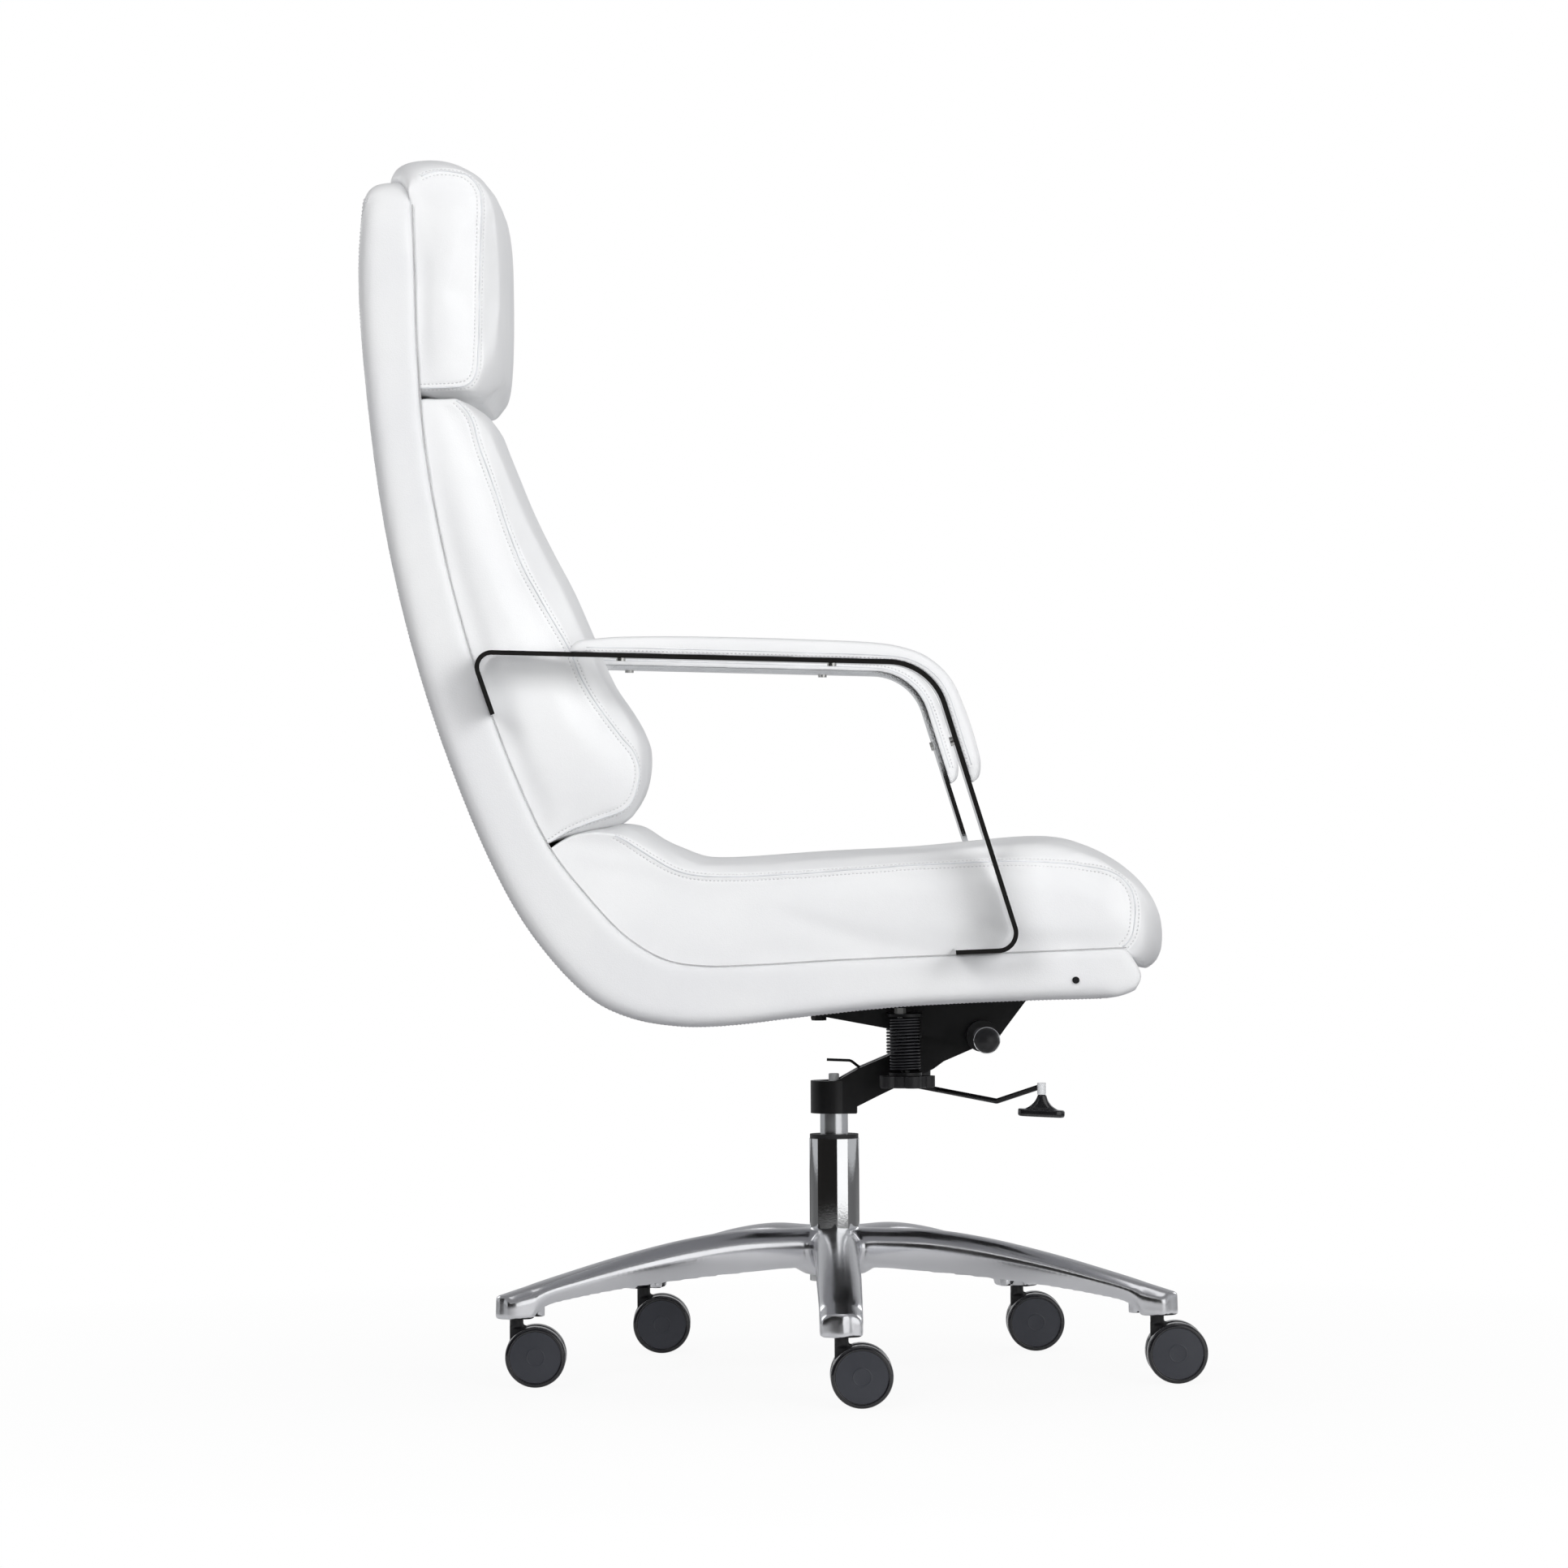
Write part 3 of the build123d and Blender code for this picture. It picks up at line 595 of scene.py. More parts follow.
CORNER = 55.0  # of the shell and the headrest, seen from the front
CUSHION_INSET = 4.5  # of each cushion's side from the shell's side


def narrowing(z, inset):
    """Half of the chair's width at height z."""
    heights = [300, 640, 700, 760, 880, 1000, 1070, 1128, 1300]
    halves = [250, 250, 249.2, 246.8, 239.8, 232, 229.6, 228, 228]
    return np.interp(z, heights, halves) - inset


def rounded_top(z, inset, top):
    """The same, with the two top corners rounded off."""
    above = np.clip(np.asarray(z, float) - (top - CORNER), 0, CORNER * 0.995)
    return narrowing(z, inset) - CORNER + np.sqrt(CORNER**2 - above**2)


def cushion_half(z):
    return narrowing(z, CUSHION_INSET)


# ---------------------------------------------------------------- cushions

TUCK = 6.0  # how far a cushion reaches in behind the shell's edge
SHRINK = 4.0  # how much smaller a cushion is before it swells
MOST_SWELL = 5.0
CLOTH = {
    "use_pressure": True, "uniform_pressure_force": 3.0, "vertex_group_mass": "held", "quality": 4,
    "tension_stiffness": 12, "compression_stiffness": 12, "shear_stiffness": 6, "bending_stiffness": 1.2,
    "mass": 0.35,
}
CLOTH_FRAMES = 20
HELD_REACH = 9.0  # cushion points this near to the shell's front line don't swell
DENT_RADIUS = 13.0
DENT_DEPTH = 1.6
CROWN_POWER = 2.6


def crown(u):
    """How far the padding has risen towards its full height, from 0 at the side seams to 1."""
    return (1 - np.abs(u) ** CROWN_POWER) ** (1 / CROWN_POWER)


def stations(fine=0.012, coarse=0.09):
    """Positions from -1 to 1, close together near both ends."""
    from_side, step = [0.0], fine * 0.35
    while from_side[-1] < 1:
        from_side.append(min(from_side[-1] + step, 1.0))
        step = min(step * 1.35, coarse)
    return sorted({round(s * (1 - v), 5) for v in from_side for s in (-1, 1)})


def cushion(name, side, centre, rear, half, counts, replaces):
    """A padded piece from its side seam line, its centre line and the line that it rests on."""
    front_count, rear_count = counts
    loops = []
    for line in (side, centre):
        front = evenly(spline(line), front_count)
        behind = evenly(rear(front[-1], front[0]), rear_count + 2)[1:-1]
        loops.append(np.concatenate([front, behind]))
    side_loop, centre_loop = loops
    rings = []
    for u in stations():
        loop = side_loop + (centre_loop - side_loop) * crown(u)
        rings.append(standing(loop, u * half(loop[:, 1])))
    obj = make(name, *loft(rings), "seat", "white_leather", replaces=replaces)
    edit_mesh(obj, clean_up)
    seam = side_loop[:front_count]
    return obj, [standing(seam, s * half(seam[:, 1])) for s in (-1, 1)]


def tucked_line():
    """The shell's front line, moved into the shell."""
    return sideways(spline(SHELL_SEAM, 2.0), TUCK)


def along_shell(start, end):
    """The shell's front line between two points near it, with the points joined on."""
    line = tucked_line()
    i, j = nearest(line, start), nearest(line, end)
    part = line[min(i, j):max(i, j) + 1]
    return np.concatenate([[start], part[::-1] if i > j else part, [end]])


def seat_rear(start, end):
    """Along the shell, and up behind the foot of the back cushion."""
    rise = [(-279, 537), (-256, 550), (-233, 554)]
    return np.concatenate([along_shell(start, (-279, 535))[:-1], [*rise, end]])


def head_rear(start, end):
    """Up the shell's front line and, for the middle of the headrest, over the shell's top edge."""
    line = tucked_line()
    over = [(-416, 1170), (-430, 1178)] if end[0] < -420 else [(-414, 1172), (-408, 1180)]
    return np.concatenate([[start], line[:nearest(line, start) + 1][::-1], [*over, end]])


def at_shell(points):
    """Which of the points lie near the shell's front line."""
    tree = tree_of([(x, 0, z) for x, z in spline(SHELL_SEAM, 3.0)])
    return [tree.find(Vector((x, 0, z)))[2] < HELD_REACH for x, _, z in points]


def inflate(obj):
    """Swells the piece like stuffed upholstery; the points at the shell are held."""
    points = points_of(obj) - normals_of(obj) * SHRINK
    set_points(obj, points)
    group = obj.vertex_groups.new(name="held")
    for i in np.where(at_shell(points))[0]:
        group.add([int(i)], 1.0, "REPLACE")
    cloth = obj.modifiers.new("cloth", "CLOTH")
    for name, value in CLOTH.items():
        setattr(cloth.settings, name, value)
    cloth.settings.effector_weights.gravity = 0
    cloth.collision_settings.use_collision = False
    cloth.point_cache.frame_start = 1
    cloth.point_cache.frame_end = CLOTH_FRAMES
    for f in range(1, CLOTH_FRAMES + 1):
        bpy.context.scene.frame_set(f)
    apply_modifiers(obj)
    swell = points_of(obj) - points
    size = np.linalg.norm(swell, axis=1)[:, None]
    set_points(obj, points + swell * np.minimum(1, MOST_SWELL / np.maximum(size, TINY)))
    bpy.context.scene.frame_set(1)
    obj.vertex_groups.clear()


def dent(obj, places):
    """Soft hollows where something presses into the padding."""
    points, normals = points_of(obj), normals_of(obj)
    for place in places:
        d = np.linalg.norm(points - np.array(place), axis=1)
        points -= normals * (DENT_DEPTH * np.exp(-((d / DENT_RADIUS) ** 2)))[:, None]
    set_points(obj, points)


def upholster(name, side, centre, rear, half, counts, replaces, dents=()):
    """One cushion from its lines to its finished surface, seams and stitches."""
    obj, seams = cushion(name, side, centre, rear, half, counts, replaces)
    remesh(obj, 5.0, 2)
    inflate(obj)
    relax(obj, 7)
    subdivide(obj)
    refine(obj, seams, 14.0)
    dent(obj, [(x, s * y, z) for x, y, z in dents for s in (-1, 1)])
    sew(obj, seams, press=(2.4, 2.6, 0.8), crease=0.8, press_rows=(0.7, 1.3))


upholster(
    "seat_cushion_leather", SEAT_SIDE, SEAT_CENTRE, seat_rear, cushion_half, (150, 110), "seat_cushion",
    [(150, 244, 452), (128, 244, 440)],
)
upholster(
    "back_cushion_leather", BACK_SIDE, BACK_CENTRE, along_shell, cushion_half, (130, 60), "back_cushion",
    [(-322, 244, 688), (-316, 244, 672)],
)
upholster(
    "headrest_cushion_leather", HEAD_SIDE, HEAD_CENTRE, head_rear,
    lambda z: rounded_top(z, CUSHION_INSET, HEAD_TOP_Z), (90, 50), "headrest_cushion",
)


def make_joint_shade_line():
    """The dark joint where the cushions go in behind the edge of the shell, on both sides, drawn as a grey
    tube of painted shade.
    """
    line = spline(SHELL_SEAM, 3.0)
    line = sideways(line[line[:, 1] < 1158], -0.5)
    half = narrowing(line[:, 1], 5.6)
    sides = [tube(standing(line, s * half), 0.65) for s in (-1, 1)]
    add_trim("shell_joint_line", sides, "white_leather", JOINT_PAINTED_SHADE)


make_joint_shade_line()


# ---------------------------------------------------------------- shell

SHELL_RINGS = 260
TOP_ROUND = 18.0
SIDE_GAP = 0.5  # keeps the leather's side inside the CAD shell
NOSE = [((284, 426), (268, 385)), ((290, 416), (279, 388)), ((295, 406), (288, 392))]


def rounded_section(inner, outer, half, corner_out, corner_in):
    """Points round a section of the shell, from its inner face to its outer face."""
    depth = np.linalg.norm(outer - inner)
    out = (outer - inner) / depth
    corner_out = min(corner_out, depth * 0.6)
    corner_in = min(corner_in, depth * 0.3)
    loop = []

    def arc(cd, cy, r, a0, a1):
        for a in np.linspace(a0, a1, 9):
            loop.append((cd + r * math.cos(a), cy + r * math.sin(a)))
    arc(depth - corner_out, half - corner_out, corner_out, 0, math.pi / 2)
    arc(corner_in, half - corner_in, corner_in, math.pi / 2, math.pi)
    loop += [(0, y) for y in np.linspace(half - corner_in, -half + corner_in, 40)[1:-1]]
    arc(corner_in, -half + corner_in, corner_in, math.pi, 1.5 * math.pi)
    arc(depth - corner_out, -half + corner_out, corner_out, 1.5 * math.pi, 2 * math.pi)
    loop += [(depth, y) for y in np.linspace(-half + corner_out, half - corner_out, 40)[1:-1]]
    return np.array([(inner[0] + out[0] * d, y, inner[1] + out[1] * d) for d, y in loop])


def shell_sections():
    """Sections from the shell's top edge down to its nose under the front of the seat."""
    front = evenly(spline(SHELL_SEAM, 1.0), SHELL_RINGS)
    back = evenly(spline(SHELL_BACK, 1.0), SHELL_RINGS)
    through = back[0] - front[0]
    through = through / np.linalg.norm(through)
    for a in np.linspace(math.pi / 2, 0, 10)[:-1]:
        rise, inset = TOP_ROUND * math.sin(a), TOP_ROUND * (1 - math.cos(a))
        inner = front[0] + through * inset * 0.35 + np.array([-1.5, rise])
        outer = back[0] - through * inset + np.array([2.0, rise])
        half = rounded_top(min(SHELL_TOP_Z, front[0][1] + rise), SIDE_GAP, SHELL_TOP_Z) - inset * 0.4
        yield rounded_section(inner, outer, half, 12, 5)
    for inner, outer in zip(front, back):
        half = rounded_top((inner[1] + outer[1]) / 2, SIDE_GAP, SHELL_TOP_Z)
        yield rounded_section(inner, outer, half, 17, 5)
    for inner, outer in np.array(NOSE, float):
        yield rounded_section(inner, outer, 249.0, 9, 4)


def shell_seams():
    """A seam down each edge of the back face."""
    line = spline(SHELL_BACK, 2.0)
    return [standing(line, s * narrowing(line[:, 1], 20.0)) for s in (-1, 1)]


def make_shell():
    rings = list(shell_sections())
    # The darker shell leather paints shade on the shell's faces that curve away from the light.
    obj = make("shell_leather", *loft(rings), "seat", "white_leather", SHELL_LEATHER_PAINTED_SHADE, "padded_shell")
    edit_mesh(obj, clean_up)
    remesh(obj, 4.0, 4)
    refine(obj, shell_seams(), 9.0)
    sew(obj, shell_seams(), press=(1.6, 2.4, 0.5), crease=0.7)


make_shell()


# ---------------------------------------------------------------- arm pads

BAND_Y = 278.0
BAND_BEND = 57.0  # radius of the arm band's front bend
BAND_TOP = 2.5  # from the band's middle line to the pad's underside
PAD_HALF = 27.0
PAD_RINGS = 150
PAD_END_RINGS = 9  # the pad narrows over these rings at each end
PAD_SEAM_UP = 5.0
PAD_LINE = [(-256.8, 718.2), (90.0, 708.3), (126.0, 592.7)]
PAD_OUTLINE = [
    (-256.8, 720.9), (-252, 729.5), (-227, 734), (-172, 735.5), (-102, 734.3), (-24, 731.6), (38, 728.2),
    (62, 724.2), (86, 715), (108, 695), (121, 668.5), (133.4, 631), (137.4, 611), (135, 598), (128.5, 593.5),
]


def filleted(corners, radius):
    """Two straight stretches joined by an arc."""
    a, b, c = (np.array(p, float) for p in corners)
    u, v = (a - b) / np.linalg.norm(a - b), (c - b) / np.linalg.norm(c - b)
    half = math.acos(np.clip(u @ v, -1, 1)) / 2
    reach = radius / math.tan(half)
    middle = b + (u + v) / np.linalg.norm(u + v) * radius / math.sin(half)
    start, end = b + u * reach, b + v * reach
    a0 = math.atan2(*(start - middle)[::-1])
    a1 = math.atan2(*(end - middle)[::-1])
    turn = (a1 - a0 + math.pi) % (2 * math.pi) - math.pi
    angles = a0 + turn * np.linspace(0, 1, 30)
    return np.array([a, *(middle + radius * np.array([math.cos(t), math.sin(t)]) for t in angles), c])


def pad_section(half, depth):
    """Points (y, height) round the pad: a full top, short sides and a flat underside."""
    edge = 0.16  # height of the sides, as a share of the depth
    loop = []
    for a in np.linspace(0, math.pi, 25):
        across = math.copysign(abs(math.cos(a)) ** 0.42, math.cos(a))
        loop.append((half * across, depth * (edge + (1 - edge) * abs(math.sin(a)) ** 0.55)))
    return loop + [(half * across, 0.0) for across in (-0.985, *np.linspace(-0.9, 0.9, 9), 0.985)]


def make_pad(side, y_sign):
    band_line = filleted(PAD_LINE, BAND_BEND)
    start = directions(band_line)[0]
    inner = evenly(sideways(band_line, -BAND_TOP), PAD_RINGS)
    rise = evenly(spline(PAD_OUTLINE, 1.0), PAD_RINGS) - inner
    depth = np.linalg.norm(rise, axis=1)
    out = rise / np.maximum(depth, TINY)[:, None]
    out[0], out[-1] = (-start[1], start[0]), (0.95, 0.31)
    rings = []
    for i in range(PAD_RINGS):
        from_end = min(i, PAD_RINGS - 1 - i) / PAD_END_RINGS
        half = PAD_HALF - 4.0 * max(1 - from_end, 0) ** 2
        rings.append([
            (inner[i][0] + out[i][0] * d, y_sign * BAND_Y + y, inner[i][1] + out[i][1] * d)
            for y, d in pad_section(half, max(depth[i], 1.5))
        ])
    obj = make(f"arm_pad_leather_{side}", *loft(rings), "seat", "pad_leather", replaces=f"arm_pad_{side}")
    edit_mesh(obj, clean_up)
    remesh(obj, 1.8, 3)
    skin = Skin(obj)
    seam = (inner + PAD_SEAM_UP * rise / np.maximum(depth, 1.0)[:, None])[6:-6]
    lines = [settled(skin, standing(seam, y_sign * BAND_Y + s * PAD_HALF)) for s in (-1, 1)]
    rows = [stitches_on(skin, beside(skin, line, [2.8 * y_sign])[0]) for line in lines]
    add_trim(f"arm_pad_stitches_{side}", rows, "pad_leather", THREAD)
    # The grey tube along each pad seam is painted shade in its crease.
    add_trim(f"arm_pad_seam_{side}", [tube(line, 0.5) for line in lines], "pad_leather", CREASE_PAINTED_SHADE)


for side, sign in (("right", -1), ("left", 1)):
    make_pad(side, sign)


# ---------------------------------------------------------------- star base

# One arm: distance from the column, top, underside, width.
ARM_SECTIONS = [
    (8, 149.5, 106.0, 52), (55, 149.4, 107.0, 47), (105, 147.8, 105.5, 45), (160, 140.2, 101.0, 44.5),
    (225, 125.8, 94.0, 44.5), (285, 109.4, 84.5, 43.5), (322, 98.6, 77.0, 42.5), (348, 90.8, 74.0, 41),
]
# How much deeper the underside goes at the caster's socket, and how much narrower the arm's tip gets.
SOCKET_UNDERSIDE = [(300, 0.0), (310, 1.2), (315, 3.4), (318, 6.0), (320.5, 9.2), (322, 11.0), (348, 11.0)]
TIP_ROUNDING = [(338, 0), (344.6, 2), (346, 4), (347.2, 7), (348, 12)]
# Half of the arm's section: across as a share of its width, and up as a share of its height.
ARM_CROWN = [
    (0.408, 0.0), (0.440, 0.16), (0.472, 0.34), (0.497, 0.52), (0.492, 0.62), (0.462, 0.72), (0.40, 0.81),
    (0.335, 0.88), (0.25, 0.94), (0.13, 0.975), (0.0, 0.985),
]
ARM_WALL = 4.2
HOLLOW_FROM, HOLLOW_TO = 45, 305
SOCKET_LOW = 66.6
TIP_HIGH = 90.0
CASTER_ANGLES = [-90 + 72 * k for k in range(5)]
CASTER_R = 333.0
WHEEL_TRAIL = 19.0  # of the axle behind the stem
AXLE_Z = 30.0


def disc(x, low, high, radius, sides=48, taper=0.0):
    """An upright round bar, which may be narrower at its top."""
    ring = [(radius * math.cos(a), radius * math.sin(a)) for a in full_turn(sides)]
    return loft([[(x + px * k, py * k, z) for px, py in ring] for z, k in ((low, 1), (high, 1 - taper))])


def arm_mesh():
    """One arm along x, with a crowned top and open underneath."""
    table, rounding, socket = (np.array(t) for t in (ARM_SECTIONS, TIP_ROUNDING, SOCKET_UNDERSIDE))
    radii = np.concatenate([np.linspace(8, 298, 52), np.linspace(300, 343, 29), rounding[1:, 0]])
    line = spline(table[:, :3], 4.0)
    rings = []
    for r in radii:
        w = np.interp(r, table[:, 0], table[:, 3]) - np.interp(r, *rounding.T)
        top, low = np.interp(r, line[:, 0], line[:, 1]), np.interp(r, line[:, 0], line[:, 2])
        low = max(low - np.interp(r, *socket.T), SOCKET_LOW)
        h = top - low
        upright = float(smoothstep(300, 328, r))
        half = [((k + (0.49 - k) * upright * (q < 0.5)) * w, low + q * h) for k, q in ARM_CROWN]
        outer = half + [(-y, z) for y, z in half[::-1][1:]]
        if HOLLOW_FROM < r < HOLLOW_TO:
            narrower, lower = 1 - 2 * ARM_WALL / w, 1 - ARM_WALL / h
            inner = [(y * narrower, low + (z - low) * lower) for y, z in outer[::-1]]
        else:
            inner = [(y * 0.9, low + 0.2) for y, z in outer[::-1]]
        rings.append([(r, y, z) for y, z in outer + inner])
    return loft(rings)


def make_base():
    tip = disc(CASTER_R + 8.5, SOCKET_LOW, TIP_HIGH, 12.8, taper=0.08)
    boss = disc(CASTER_R - 22.5, 68.0, TIP_HIGH, 6.5)
    parts = [disc(0, 101.0, 148.0, 34.0, 96)]
    arm_parts = (arm_mesh(), tip, boss)
    for angle in CASTER_ANGLES:
        c, s = math.cos(math.radians(angle)), math.sin(math.radians(angle))
        turn = np.array([[c, s, 0], [-s, c, 0], [0, 0, 1]])
        parts += [(points @ turn, faces) for points, faces in arm_parts]
    obj = make(
        "star_base_casting", *join_meshes(parts), "base", "polished_aluminium", replaces="five_star_base"
    )
    remesh(obj, 1.7, 12)
    blend_hub(obj)


def blend_hub(obj):
    """Melts the arms into the hub."""
    points = points_of(obj)
    weight = 1 - smoothstep(52, 100, np.hypot(points[:, 0], points[:, 1]))
    group = obj.vertex_groups.new(name="hub")
    for i in np.where(weight > 0.01)[0]:
        group.add([int(i)], float(weight[i]), "REPLACE")
    add_modifier(obj, "SMOOTH", iterations=70, factor=0.6, vertex_group="hub")
    apply_modifiers(obj)
    obj.vertex_groups.clear()


make_base()


# ---------------------------------------------------------------- casters

# A wheel's section: distance from the axle, and distance from the caster's middle plane.
WHEEL_PROFILE = [
    (0.4, 23.2), (7.6, 23.2), (8.1, 23.25), (8.4, 23.5), (8.8, 23.5), (9.1, 23.25), (9.6, 23.2), (24.3, 23.2),
    (24.9, 23.15), (25.2, 23.3), (25.5, 24.1), (26.0, 24.45), (27.3, 24.4), (28.6, 23.9), (29.5, 22.7),
    (29.9, 21.0), (30.0, 18.0), (30.0, 10.0), (29.85, 7.4), (29.2, 5.8), (28.2, 4.9), (27.0, 4.55),
]
WHEEL_SIDES = 96
DISC_ROWS = 9  # rows of faces, from the middle, that belong to the wheel's disc


def caster_stems():
    """Each caster's number and the place of its stem."""
    for number, angle in enumerate(CASTER_ANGLES, start=1):
        yield number, CASTER_R * math.cos(math.radians(angle)), CASTER_R * math.sin(math.radians(angle))


def make_wheels():
    """Each wheel is its profile turned about the axle, with a rim and a recessed disc."""
    for side, sign in (("right", -1), ("left", 1)):
        verts, faces = loft([
            [(r * math.cos(a), sign * y, r * math.sin(a)) for a in full_turn(WHEEL_SIDES)]
            for r, y in WHEEL_PROFILE
        ])
        for number, x, y in caster_stems():
            name = f"wheel_{side}_{number}"
            middle = np.array([x + WHEEL_TRAIL, y, AXLE_Z])
            obj = make(
                name, verts + middle, faces, name, "wheel_plastic", replaces=f"caster_wheel_{side}_{number}"
            )
            obj.data.materials.append(WHEEL_DISC)
            indices = np.zeros(len(faces), int)
            indices[:DISC_ROWS * WHEEL_SIDES] = 1
            indices[-2] = 1  # the face that closes the middle of the disc
            obj.data.polygons.foreach_set("material_index", indices)
            edit_mesh(obj, face_outwards)


def make_caster_frames():
    """Plastic disc between the wheels, with a rounded neck up to the stem."""
    radius = 26.5
    ring = [(WHEEL_TRAIL + radius * math.cos(a), AXLE_Z + radius * math.sin(a)) for a in full_turn(72)]
    plate = loft([[(px, y, pz) for px, pz in ring] for y in (-4.0, 4.0)])
    foot = ((-6.7, -4), (10, -4), (10, 4), (-6.7, 4))
    web = loft([[(px, py, z) for px, py in foot] for z in (AXLE_Z, 60)])
    neck = disc(0, 57.9, 69.0, 6.8)
    verts, faces = join_meshes([plate, web, neck])
    for number, x, y in caster_stems():
        obj = make(
            f"caster_body_{number}", verts + np.array([x, y, 0.0]), faces, f"caster_{number}",
            "black_plastic", replaces=f"caster_frame_{number}",
        )
        remesh(obj, 1.1, 2)


make_wheels()
make_caster_frames()


# ---------------------------------------------------------------- springs

def make_springs():
    turns, low, high = 17, 308.2, 360.0
    coil_x, coil_y, coil_radius, wire_radius = 70, 66.0, 14.1, 1.4
    t = np.linspace(0, 1, turns * 28)
    a = 2 * math.pi * turns * t
    rise = t * t * (3 - 2 * t) * 0.18 + t * 0.82  # the end coils lie closer together
    z = low + (high - low) * rise
    parts = []
    for y in (-coil_y, coil_y):
        line = np.stack([coil_x + coil_radius * np.cos(a), y + coil_radius * np.sin(a), z], axis=1)
        parts.append(tube(line, wire_radius))
    obj = make("spring_coils", *join_meshes(parts), "lift", "spring_steel", replaces="tension_springs")
    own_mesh(obj)


make_springs()


# ---------------------------------------------------------------- lever paddle

def make_paddle():
    """The moulded paddle with its edges rounded over, slightly twisted on the rod."""
    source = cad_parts["lever_paddle"]
    points = np.array([source.matrix_world @ v.co for v in source.data.vertices]) / MM
    middle = (points.min(0) + points.max(0)) / 2
    twist = np.array(Matrix.Rotation(math.radians(3), 3, "Y"))
    turned = middle + (points - middle) @ twist.T
    faces = [tuple(p.vertices) for p in source.data.polygons]
    obj = make(
        "lever_paddle_moulding", turned, faces, "gas_lever", "black_plastic", GLOSS_PLASTIC, "lever_paddle"
    )
    edit_mesh(obj, lambda bm: bmesh.ops.remove_doubles(bm, verts=bm.verts, dist=0.01 * MM))
    remesh(obj, 0.7, 16)


make_paddle()


# ---------------------------------------------------------------- finishes of the CAD pieces

def finish_cad_pieces():
    """Gives every CAD piece that is seen its material and rounded edges."""
    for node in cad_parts.values():
        if node.hide_render:
            continue
        slots = [m.name for m in node.data.materials if m]
        slot = next((s for s in FINISH if any(s in m for m in slots)), "black_steel")
        paint(node, FINISH[slot])
        add_modifier(
            node, "BEVEL", width=0.5 * MM, segments=2, limit_method="ANGLE",
            angle_limit=math.radians(35), harden_normals=True,
        )


finish_cad_pieces()


# ---------------------------------------------------------------- studio, in metres

BOARD_RADIUS = 2.4
BOARD_HEIGHT = 1.5
FLOOR_HALF = 3.4


def reflected(name, mesh, colour, glow):
    """A board seen only in polished surfaces."""
    obj = add_object(name, mesh)
    material, _, bsdf, _ = new_material(name, colour, 0.9)
    bsdf.inputs["Emission Color"].default_value = (1, 1, 1, 1)
    bsdf.inputs["Emission Strength"].default_value = glow
    paint(obj, material)
    obj.visible_camera = False
    obj.visible_diffuse = False
    obj.visible_shadow = False
    return obj


def rectangle(name, x, y):
    """A flat sheet from its half sizes."""
    mesh = bpy.data.meshes.new(name)
    mesh.from_pydata([(-x, -y, 0), (x, -y, 0), (x, y, 0), (-x, y, 0)], [], [(0, 1, 2, 3)])
    return mesh


def softbox(name, place, target, size, watts, card=None):
    """A soft lamp; with a card given, reflections show a card of that glow instead of the lamp."""
    light = bpy.data.lights.new(name, "AREA")
    light.shape = "RECTANGLE"
    light.size, light.size_y = size
    light.energy = watts
    obj = add_object(name, light)
    obj.location = place
    obj.rotation_euler = (Vector(target) - Vector(place)).to_track_quat("-Z", "Y").to_euler()
    obj.visible_camera = False
    obj.visible_glossy = card is None
    if card:
        sheet = rectangle(name + "_card", size[0] / 2, size[1] / 2)
        stand_in = reflected(name + "_card", sheet, (0.02, 0.02, 0.02), card)
        stand_in.location = obj.location
        stand_in.rotation_euler = obj.rotation_euler


def board(name, start, end, colour, glow):
    """A curved board standing round the chair; the angles are in degrees from the camera's side."""
    count = 24
    line = [(BOARD_RADIUS * math.sin(a), -BOARD_RADIUS * math.cos(a))
            for a in np.radians(np.linspace(start, end, count))]
    verts = [(x, y, z) for z in (0.0, BOARD_HEIGHT) for x, y in line]
    faces = [(i, i + 1, count + i + 1, count + i) for i in range(count - 1)]
    mesh = bpy.data.meshes.new(name)
    mesh.from_pydata(verts, [], faces)
    reflected(name, mesh, colour, glow)


def add_floor():
    """A pale floor near the chair, which the camera sees as pure white further out."""
    floor = add_object("floor", rectangle("floor", FLOOR_HALF, FLOOR_HALF))
    material, tree, bsdf, coordinates = new_material("pale_floor", (0.93, 0.93, 0.93), 0.6)
    glow = tree.nodes.new("ShaderNodeEmission")
    path = tree.nodes.new("ShaderNodeLightPath")
    centre = tree.nodes.new("ShaderNodeVectorMath")
    centre.operation = "LENGTH"
    tree.links.new(coordinates.outputs["Object"], centre.inputs[0])
    distance = centre.outputs["Value"]
    near = blend_colour(tree, path.outputs["Is Diffuse Ray"], (0.95, 0.95, 0.95), (0.42, 0.42, 0.44))
    vary_colour(tree, bsdf, distance, 0.9, 1.5, near, (0.14, 0.14, 0.14))
    white = ramp(tree, distance, 0.92, 1.0, 0.3, 1.3)
    seen = calculate(tree, "MULTIPLY", white, path.outputs["Is Camera Ray"])
    mix = tree.nodes.new("ShaderNodeMixShader")
    tree.links.new(seen, mix.inputs["Fac"])
    tree.links.new(bsdf.outputs["BSDF"], mix.inputs[1])
    tree.links.new(glow.outputs["Emission"], mix.inputs[2])
    tree.links.new(mix.outputs["Shader"], tree.nodes["Material Output"].inputs["Surface"])
    paint(floor, material)


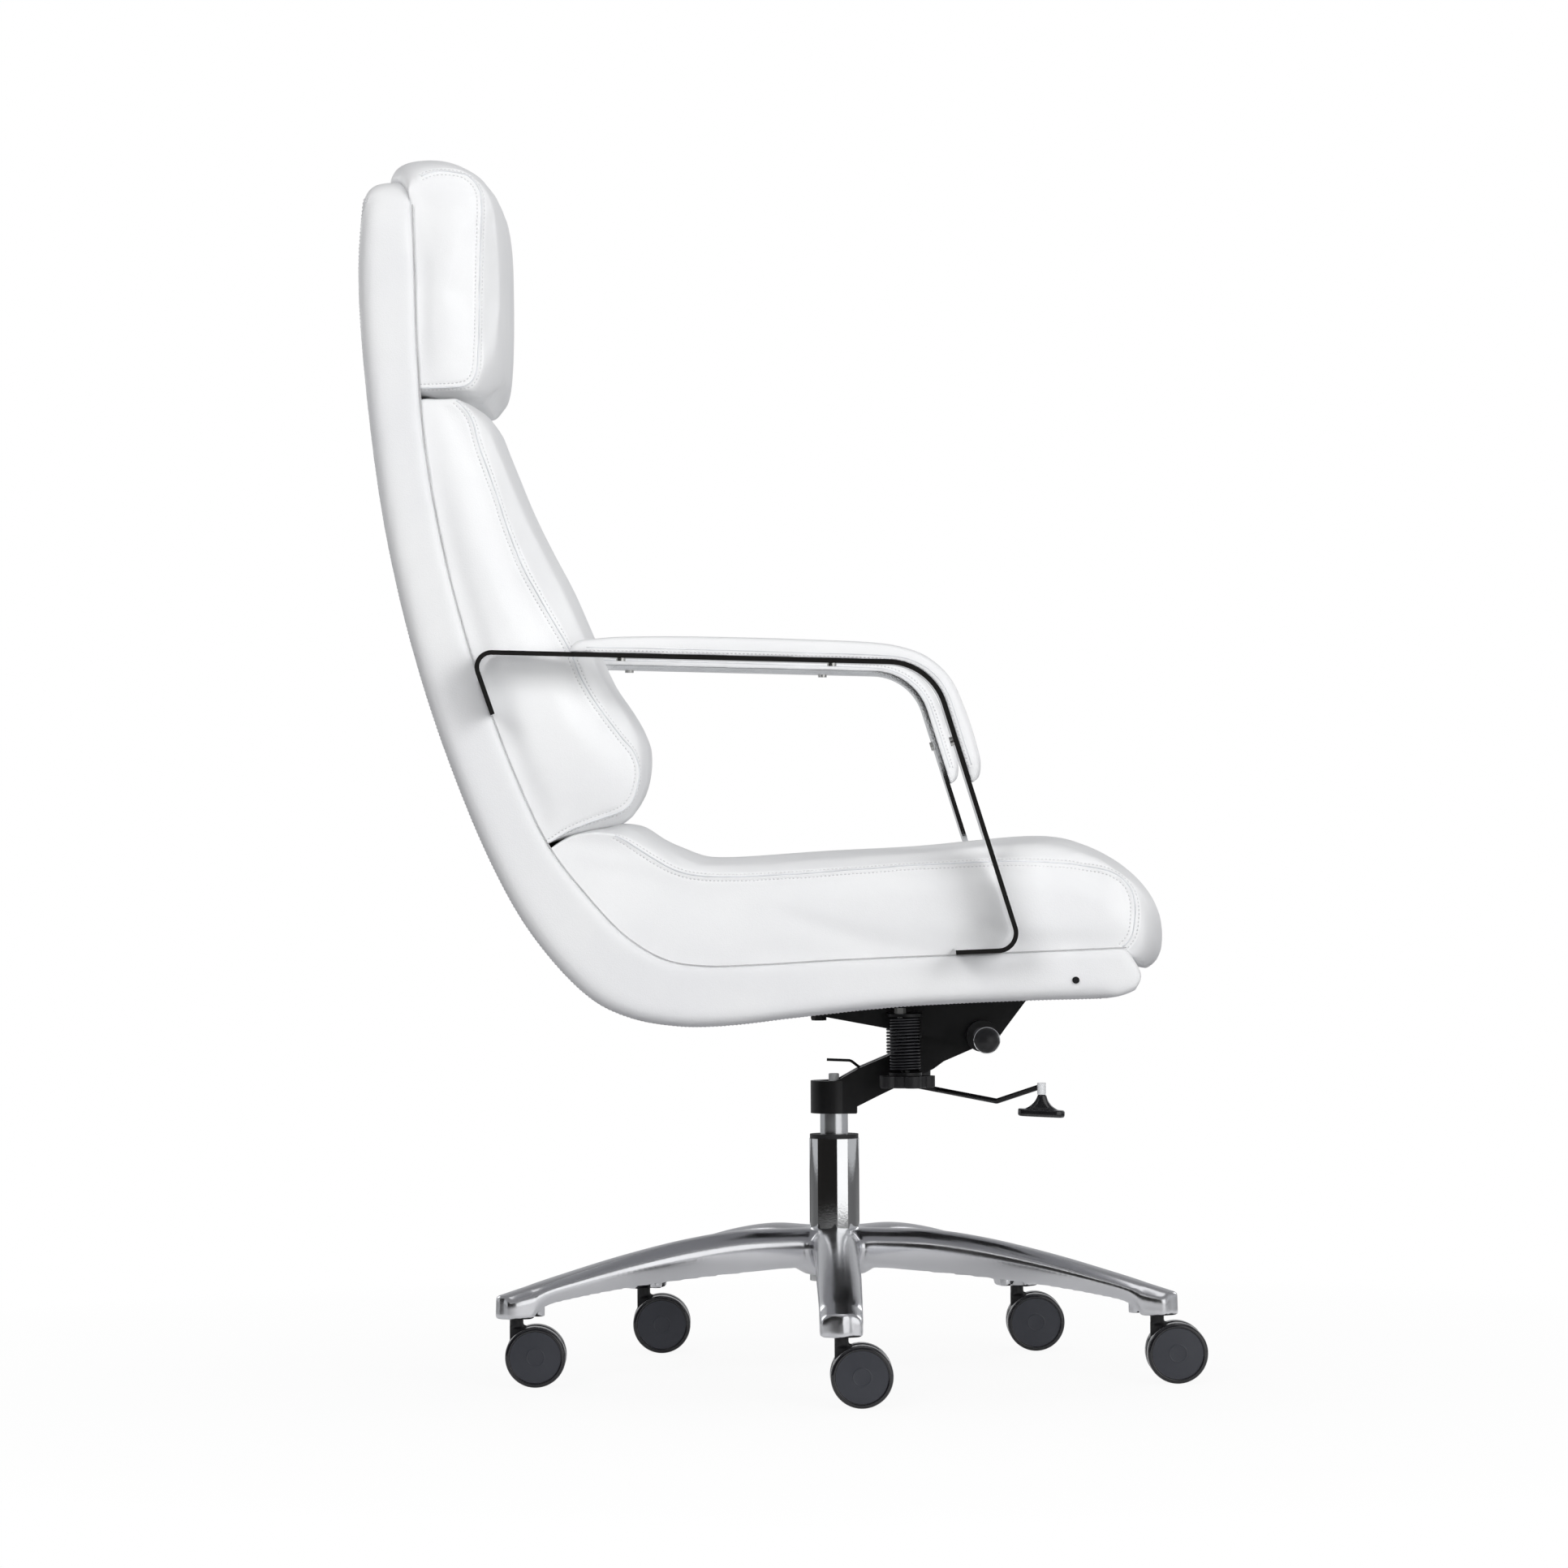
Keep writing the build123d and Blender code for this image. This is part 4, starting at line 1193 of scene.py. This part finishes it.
def add_lamps():
    softbox("front_left", (-1.9, -4.3, 2.5), (0, 0, 0.65), (2.0, 1.6), 80, 1.15)
    softbox("front_right", (2.4, -4.0, 2.1), (0, 0, 0.6), (1.8, 1.8), 54, 1.05)
    softbox("front_low", (0.1, -4.9, 0.7), (0, 0, 0.6), (3.2, 1.0), 34, 0)
    softbox("above", (0.2, 0.2, 3.2), (0, 0, 0.6), (2.6, 2.2), 15)
    softbox("back_left", (-2.6, 2.6, 1.8), (0, 0, 0.7), (1.4, 1.8), 15)
    softbox("back_right", (2.6, 2.6, 1.8), (0, 0, 0.7), (1.4, 1.8), 16)
    board("black_board", -84, 11, (0.020, 0.018, 0.016), 0.0)
    board("white_board", 13, 64, (0.02, 0.02, 0.02), 1.12)


def window(tree, value, start, end, soft):
    """1 between start and end, and 0 outside them."""
    opening = ramp(tree, value, 0, 1, start - soft, start + soft)
    closing = ramp(tree, value, 1, 0, end - soft, end + soft)
    return calculate(tree, "MULTIPLY", opening, closing)


def add_room():
    """Pale grey walls with a dark doorway and a bright screen in front; the camera sees only white."""
    world = bpy.data.worlds.new("studio")
    bpy.context.scene.world = world
    world.use_nodes = True
    tree = world.node_tree
    nodes, links = tree.nodes, tree.links
    background = nodes["Background"]
    direction = nodes.new("ShaderNodeTexCoord")
    split = nodes.new("ShaderNodeSeparateXYZ")
    links.new(direction.outputs["Generated"], split.inputs["Vector"])
    x, y, z = (split.outputs[axis] for axis in "XYZ")
    turn = calculate(tree, "ARCTAN2", x, calculate(tree, "MULTIPLY", y, -1))
    level = window(tree, z, -0.5, 0.42, 0.08)
    dark = calculate(tree, "MULTIPLY", window(tree, turn, -1.42, 0.2, 0.04), level)
    bright = calculate(tree, "MULTIPLY", window(tree, turn, 0.24, 1.05, 0.03), level)
    wall = blend_colour(tree, ramp(tree, z, 0, 1, 0.1, 0.7), (0.80, 0.81, 0.83), (0.42, 0.42, 0.43))
    wall = blend_colour(tree, dark, wall, (0.03, 0.027, 0.025))
    links.new(blend_colour(tree, bright, wall, (1, 1, 1)), background.inputs["Color"])
    links.new(ramp(tree, bright, 0.6, 1.7, 0, 1), background.inputs["Strength"])
    white = nodes.new("ShaderNodeBackground")
    white.inputs["Color"].default_value = (1, 1, 1, 1)
    white.inputs["Strength"].default_value = 1.0
    path = nodes.new("ShaderNodeLightPath")
    mix = nodes.new("ShaderNodeMixShader")
    links.new(path.outputs["Is Camera Ray"], mix.inputs["Fac"])
    links.new(background.outputs["Background"], mix.inputs[1])
    links.new(white.outputs["Background"], mix.inputs[2])
    links.new(mix.outputs["Shader"], nodes["World Output"].inputs["Surface"])


def place_camera():
    """Where the photo was taken from; the angles are in radians."""
    camera = add_object("camera", bpy.data.cameras.new("camera"))
    yaw, pitch, roll = 0.0102, 0.0022, -0.0053
    place = Matrix.Translation((-0.1120, -6.2204, 0.5801))
    forward = Vector((math.sin(yaw) * math.cos(pitch), math.cos(yaw) * math.cos(pitch), math.sin(pitch)))
    right = Vector((math.cos(yaw), -math.sin(yaw), 0))
    up = right.cross(forward)
    x = right * math.cos(roll) + up * math.sin(roll)
    y = -right * math.sin(roll) + up * math.cos(roll)
    camera.matrix_world = place @ Matrix((x, y, -forward)).transposed().to_4x4()
    camera.data.lens = 142.03
    camera.data.sensor_width = 36
    bpy.context.scene.camera = camera


add_floor()
add_lamps()
add_room()
place_camera()
bpy.context.scene.view_settings.view_transform = "Standard"
